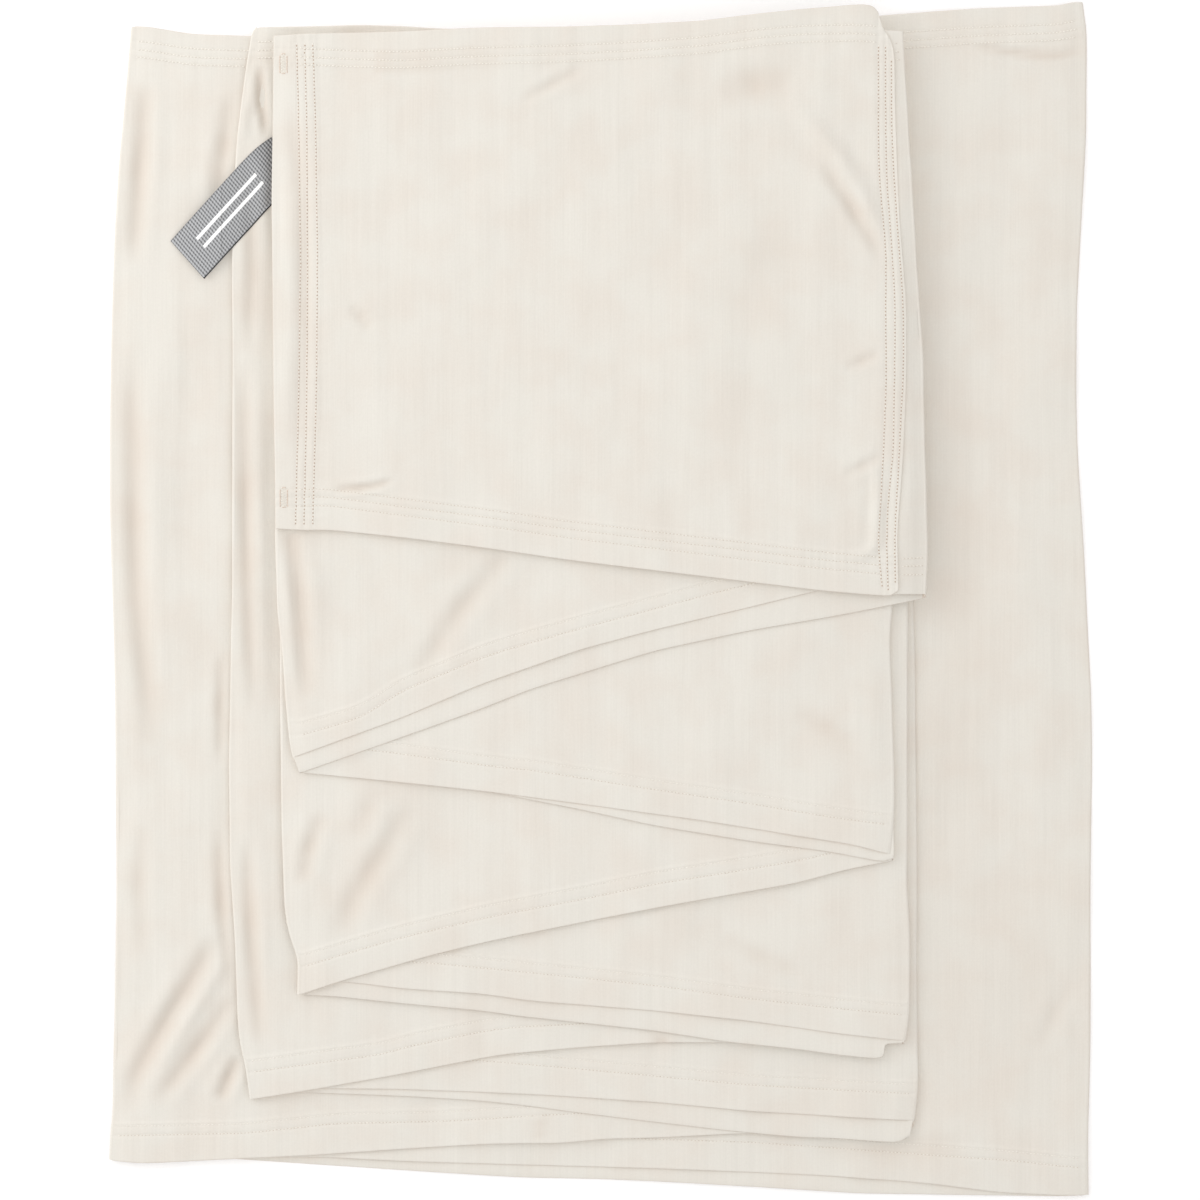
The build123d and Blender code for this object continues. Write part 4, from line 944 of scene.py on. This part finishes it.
sheets = {}
for k in range(0, 10):
    for ply in "UL":
        if k == 0 and ply == "L":
            continue
        u, v = uv_knots(k, ply)
        rims = [RIM, RIM, RIM if k <= 1 else 0.02, 0.02 if k else RIM * 0.5]
        name = "cloth_pouch" if k == 0 else f"cloth_leaf_{k}_{'upper' if ply == 'U' else 'lower'}"
        ob, area, size = grid_sheet(name, k, ply, u, v, rims)
        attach(ob, "leaf_1" if k == 0 else f"leaf_{k}")
        dress(ob, KNIT, ["pouch_panel"] if k == 0 else [f"leaf_{k}_{'upper' if ply == 'U' else 'lower'}_ply"])
        sheets[k, ply] = (ob, area, size)


def edge(k, ply, which):
    curve = C[k, ply][which]

    def f(q):
        p = at(curve, q)
        z = (surface(k, ply, p[:, 0], p[:, 1]) + surface(k, ply, p[:, 0], p[:, 1], False)) / 2
        return np.c_[p, z]
    return f


for k in range(1, 10):
    s = fold_side(k)
    which = "R" if s > 0 else "L"
    steps = 260
    if k == 9:
        ob, weight = fold_strip("cloth_middle_fold", edge(9, "U", "R"), edge(9, "L", "R"), 1, ROLL - PLY / 2, steps, 10)
        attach(ob, "leaf_9")
        dress(ob, KNIT)
        continue
    a, weight = fold_strip(f"cloth_fold_{k}_{k + 1}_outer", edge(k, "U", which), edge(k + 1, "L", which), s,
                           ROLL - PLY / 2, steps, 16)
    b, weight_b = fold_strip(f"cloth_fold_{k}_{k + 1}_inner", edge(k, "L", which), edge(k + 1, "U", which), s,
                             0.55, steps, 10)
    for ob, w in ((a, weight), (b, weight_b)):
        set_blend(ob)
        dress(ob, KNIT)

# ---------------------------------------------------------------- stitching
def clip_row(k, curve, left=2.0, right=2.0):
    """The part of a row that lies inside the leaf's sides."""
    l, r = C[k, "U"]["L"], C[k, "U"]["R"]
    xl = np.interp(-curve[:, 1], -l[:, 1], l[:, 0]) + left
    xr = np.interp(-curve[:, 1], -r[:, 1], r[:, 0]) - right
    return curve[(curve[:, 0] > xl) & (curve[:, 0] < xr)]


def hem_rows(k, on):
    """Rows of leaf k's stitching, laid on the surface of ply `on`."""
    low, top = ROWS[k]
    sets = []
    for i, s in enumerate(LOW_STEPS.get(k, (0, -4.2))):
        sets.append(row_on(on, clip_row(on, shifted(low, s)), 100 * k + i))
    for i, s in enumerate(TOP_STEPS):
        sets.append(row_on(on, clip_row(on, shifted(top, s)), 100 * k + 10 + i, length=1.2, radius=0.30, lift=0.15, hole=0.12))
    return sets


def sew(name, rows, body, thread_mat, hole_shade_mat, node, from_row=0):
    """Stitches as one piece, and the painted shade of their needle holes as another."""
    ob = thread_object(f"stitches_{name}", [r[0] for r in rows])
    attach(ob, body)
    dress(ob, thread_mat, [node])
    ob = thread_object(f"needle_hole_shades_{name}", [r[1] for r in rows[from_row:]])
    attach(ob, body)
    dress(ob, hole_shade_mat)


for k in range(2, 10):
    sew(f"leaf_{k}", hem_rows(k, k), f"leaf_{k}", THREAD, HOLE_SHADE_SOFT, f"leaf_{k}_hem_stitching", 1)
rows = hem_rows(0, 0)
r_edge = C[0, "U"]["R"]
for i, s in enumerate(TOP_STEPS):                          # the rows run on over the strip of leaf 1 beside the pouch
    q = np.c_[np.linspace(127.5, 134.6, 20), np.linspace(250.3, 249.6, 20) + s]
    rows.append(row_on(1, q[(q[:, 0] > np.interp(-q[:, 1], -r_edge[:, 1], r_edge[:, 0]) + 0.6)], 60 + i, lift=0.10))
for i, s in enumerate(LOW_STEPS[0]):
    q = np.c_[np.linspace(135.2, 145.0, 30), np.linspace(18.6, 18.9, 30) + s]
    rows.append(row_on(1, q, 70 + i, lift=0.10))
sew("pouch_hems", rows, "leaf_1", THREAD, HOLE_SHADE_SOFT, "leaf_1_hem_stitching")
for name, curves, node, seed in (("pouch_mouth", MOUTH_C, "pouch_mouth_stitching", 900),
                                 ("pouch_end", END_C, "pouch_end_stitching", 950)):
    rows = []
    for i, c in enumerate(curves):
        c = c[(c[:, 1] > 3.5) & (c[:, 1] < 262)]
        if seed == 950:
            lim = np.interp(-c[:, 1], -r_edge[:, 1], r_edge[:, 0])
            over = np.interp(-c[:, 1], -C[1, "U"]["R"][:, 1], C[1, "U"]["R"][:, 0])
            c = c[c[:, 0] < over - 0.6]
        rows.append(row_on(0, c, seed + i, hole=0.30))
    sew(name, rows, "leaf_1", THREAD, HOLE_SHADE_WARM, node)
for name in ("bartack_upper", "bartack_lower"):
    lo, hi = (np.array(c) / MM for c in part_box(name))
    mid = (lo + hi) / 2
    half = (hi - lo) / 2
    n = 15
    y = np.linspace(-1, 1, n) * (half[1] - 0.5)
    r = np.random.default_rng(7)
    pts = np.c_[np.full(n, mid[0]) + r.normal(0, 0.06, n), mid[1] + y]
    tilt = np.where(np.arange(n) % 2, 0.22, -0.22)
    dirs = np.c_[np.cos(tilt), np.sin(tilt)]
    zz = surface(0, "U", pts[:, 0], pts[:, 1])
    filling = [capsules(pts, dirs, zz + 0.14, 2 * half[0] - 1.1, 0.17, 0.20)]
    sets = []
    for sx in (-1, 1):
        q = np.c_[np.full(60, mid[0] + sx * (half[0] - 0.45)), np.linspace(mid[1] - half[1] + 0.5, mid[1] + half[1] - 0.5, 60)]
        p, d = along(q, 1.1, 11 + sx)
        sets.append(capsules(p, d, surface(0, "U", p[:, 0], p[:, 1]) + 0.18, 1.15, 0.24))
        p = np.array([[mid[0] + 0.45 * t, mid[1] + sx * (half[1] - 0.35)] for t in (-1, 1)])
        d = np.array([[0.94, 0.34 * sx], [0.94, -0.34 * sx]])
        sets.append(capsules(p, d, surface(0, "U", p[:, 0], p[:, 1]) + 0.18, 1.0, 0.24))
    ob = thread_object(f"stitches_{name}", sets)
    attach(ob, "leaf_1")
    dress(ob, THREAD_TAN, [name])
    ob = thread_object(f"stitches_{name}_filling", filling)
    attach(ob, "leaf_1")
    dress(ob, THREAD)

# ---------------------------------------------------------------- the ribbon label
t1, t2, dl = np.array(LABEL_TIP[0]), np.array(LABEL_TIP[1]), np.array(LABEL_DIR)
ac = t2 - t1
WIDTH = float(np.linalg.norm(ac))
S_END = 77.4
ds, dt = ((0.24, 0.8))
ss = np.linspace(0, S_END, int(S_END / ds) + 1)
tt = np.linspace(0, 1, int(WIDTH / dt) + 1)
SS, TT = np.meshgrid(ss, tt, indexing="ij")
LX = t1[0] + ac[0] * TT + dl[0] * SS
LY = t1[1] + ac[1] * TT + dl[1] * SS
bend = np.minimum(3.3 * (np.maximum(SS - 45.0, 0) / 23.5) ** 2.6, 4.2) * (1 - TT) ** 1.5
LX, LY = LX + bend * ac[0] / WIDTH, LY + bend * ac[1] / WIDTH
drop = np.maximum(HINGE_X - LX, 0)
rest_z = LABEL_Z - 0.06 + sample(BOTTOM[6, "U"], np.maximum(LX, -164.0), LY) - (Z[6] + UP)
soft = sstep((LX - (-164.0)) / -8.0) * 0.10
low_z = rest_z - soft - 0.131 * drop - 0.0016 * drop ** 2
under = np.interp(0, [0, 1], [0, 0]) + sample(BOTTOM[8, "U"], LX, LY) + PLY + 0.06
low_z = np.maximum(low_z, np.where(LX < -166, under, low_z))
low_z += 0.10 * np.sin(SS / 9.0 + TT * 2.0) * sstep(drop / 12)
THICK = 0.70
rib = 0.075 * (np.cos(2 * math.pi * SS / 1.44) * 0.5 + 0.5)
edge_round = 0.16 * (np.abs(TT - 0.5) * 2) ** 8
top_z = low_z + THICK - 0.06 + rib - 0.08 - edge_round
bot_z = low_z + edge_round * 0.8
tip = np.clip(1 - SS / 0.75, 0, 1)
round_tip = (1 - np.sqrt(np.maximum(1 - tip ** 2, 0))) * 0.30
top_z, bot_z = top_z - round_tip, bot_z + round_tip * 0.9
nS, nT = SS.shape
vid = np.arange(nS * nT).reshape(nS, nT)
cell_x = (LX[1:, 1:] + LX[:-1, :-1]) / 2
free = cell_x < HINGE_X


def label_piece(name, mask):
    """Cells of the ribbon as one closed piece, with a slit along its edge between the two layers."""
    a, b, c, d = (vid[:-1, :-1][mask], vid[1:, :-1][mask], vid[1:, 1:][mask], vid[:-1, 1:][mask])
    n = nS * nT
    top = np.stack([a, d, c, b], -1)
    low = np.stack([a, b, c, d], -1) + n
    m = np.pad(mask, 1)
    walls = []
    for di, dj, p, q in ((-1, 0, 0, 3), (1, 0, 2, 1), (0, -1, 1, 0), (0, 1, 3, 2)):
        open_side = mask & ~m[1 + di:1 + di + mask.shape[0], 1 + dj:1 + dj + mask.shape[1]]
        corner = [vid[:-1, :-1], vid[1:, :-1], vid[1:, 1:], vid[:-1, 1:]]
        i, j = corner[p][open_side], corner[q][open_side]
        walls.append(np.stack([i, j, j + n, i + n], -1))
    quads = np.vstack([top, low, *walls])
    out = 0.62 * (TT.ravel() > 0.999)
    xyz = np.vstack([np.c_[LX.ravel(), LY.ravel(), top_z.ravel()],
                     np.c_[LX.ravel() + out * ac[0] / WIDTH, LY.ravel() + out * ac[1] / WIDTH, bot_z.ravel()]])
    uv = np.vstack([np.c_[SS.ravel(), TT.ravel() * WIDTH], np.c_[SS.ravel(), TT.ravel() * WIDTH + out]])
    used = np.unique(quads)
    back = np.zeros(2 * n, int)
    back[used] = np.arange(len(used))
    quads = back[quads]
    v = xyz[used]
    # The normals have to point outwards: up on top.
    f = quads[0]
    if np.cross(v[f[1]] - v[f[0]], v[f[2]] - v[f[0]])[2] < 0:
        quads = quads[:, ::-1]
    return mesh_object(name, v, quads, uv[used])


held = label_piece("ribbon_held_end", ~free)
loose = label_piece("ribbon_free_end", free)
set_blend(held)
set_blend(loose)
dress(held, RIBBON, ["label_sewn_end", "label_bend"])
dress(loose, RIBBON, ["label_free_end"])
sets = []
for i, s in enumerate((70.0, 74.4)):
    q = np.array([t1 + dl * s + ac * f for f in np.linspace(0.04, 0.96, 40)])
    p, d = along(q, 1.6, 700 + i)
    z = LABEL_Z - 0.06 + sample(BOTTOM[6, "U"], p[:, 0], p[:, 1]) - (Z[6] + UP) + THICK - 0.05
    sets.append(capsules(p, d, z, 1.34, 0.17))
ob = thread_object("stitches_label", sets)
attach(ob, "leaf_6")
dress(ob, THREAD, ["label_stitching"])

# ---------------------------------------------------------------- the soft pieces' sizes, read but not used
for k in range(0, 10):
    for ply in "UL":
        if (k, ply) not in sheets:
            continue
        ob, area, size = sheets[k, ply]
        w, l = float(size[0]), float(size[1])
        if k == 0:
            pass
        elif ply == "U":
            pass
        else:
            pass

# ---------------------------------------------------------------- floor, light and camera
bpy.ops.mesh.primitive_plane_add(size=6)
floor = bpy.context.object
floor.name = "floor"
fm = Nodes("floor_white")
floor.data.materials.append(fm.finish(srgb(253, 253, 254), 0.9, 0.0, 0.1))


def softbox(name, place, size, power, color=(1, 1, 1), shadow=True):
    light = bpy.data.lights.new(name, "AREA")
    light.shape, light.size, light.energy, light.color = "SQUARE", size, power, color
    light.use_shadow = shadow
    if hasattr(light.cycles, "cast_shadow"):
        light.cycles.cast_shadow = shadow
    ob = bpy.data.objects.new(name, light)
    bpy.context.scene.collection.objects.link(ob)
    ob.location = place
    v = -ob.location
    ob.rotation_euler = v.to_track_quat("-Z", "Y").to_euler()
    return ob


softbox("key", (-1.5, 0.75, 1.25), 1.3, 5.0, (0.985, 0.995, 1.0))
softbox("key_wash", (-1.5, 0.75, 1.25), 1.3, 15.5, (0.985, 0.995, 1.0), shadow=False)
softbox("fill", (1.5, 0.0, 1.6), 1.6, 2.2, (1.0, 0.985, 0.96))
world = bpy.data.worlds.new("studio")
bpy.context.scene.world = world
world.use_nodes = True
bg = world.node_tree.nodes["Background"]
bg.inputs[0].default_value = (1.0, 0.990, 0.978, 1.0)
bg.inputs[1].default_value = 0.86

cam_data = bpy.data.cameras.new("camera")
cam_data.lens, cam_data.sensor_width = 200.0, 36.0
cam_data.clip_start, cam_data.clip_end = 0.05, 50.0
cam = bpy.data.objects.new("camera", cam_data)
cam.location = (0.0, 0.0, 3.008)
bpy.context.scene.collection.objects.link(cam)
bpy.context.scene.camera = cam
bpy.context.scene.view_settings.view_transform = "Standard"
bpy.context.scene.view_settings.look = "None"
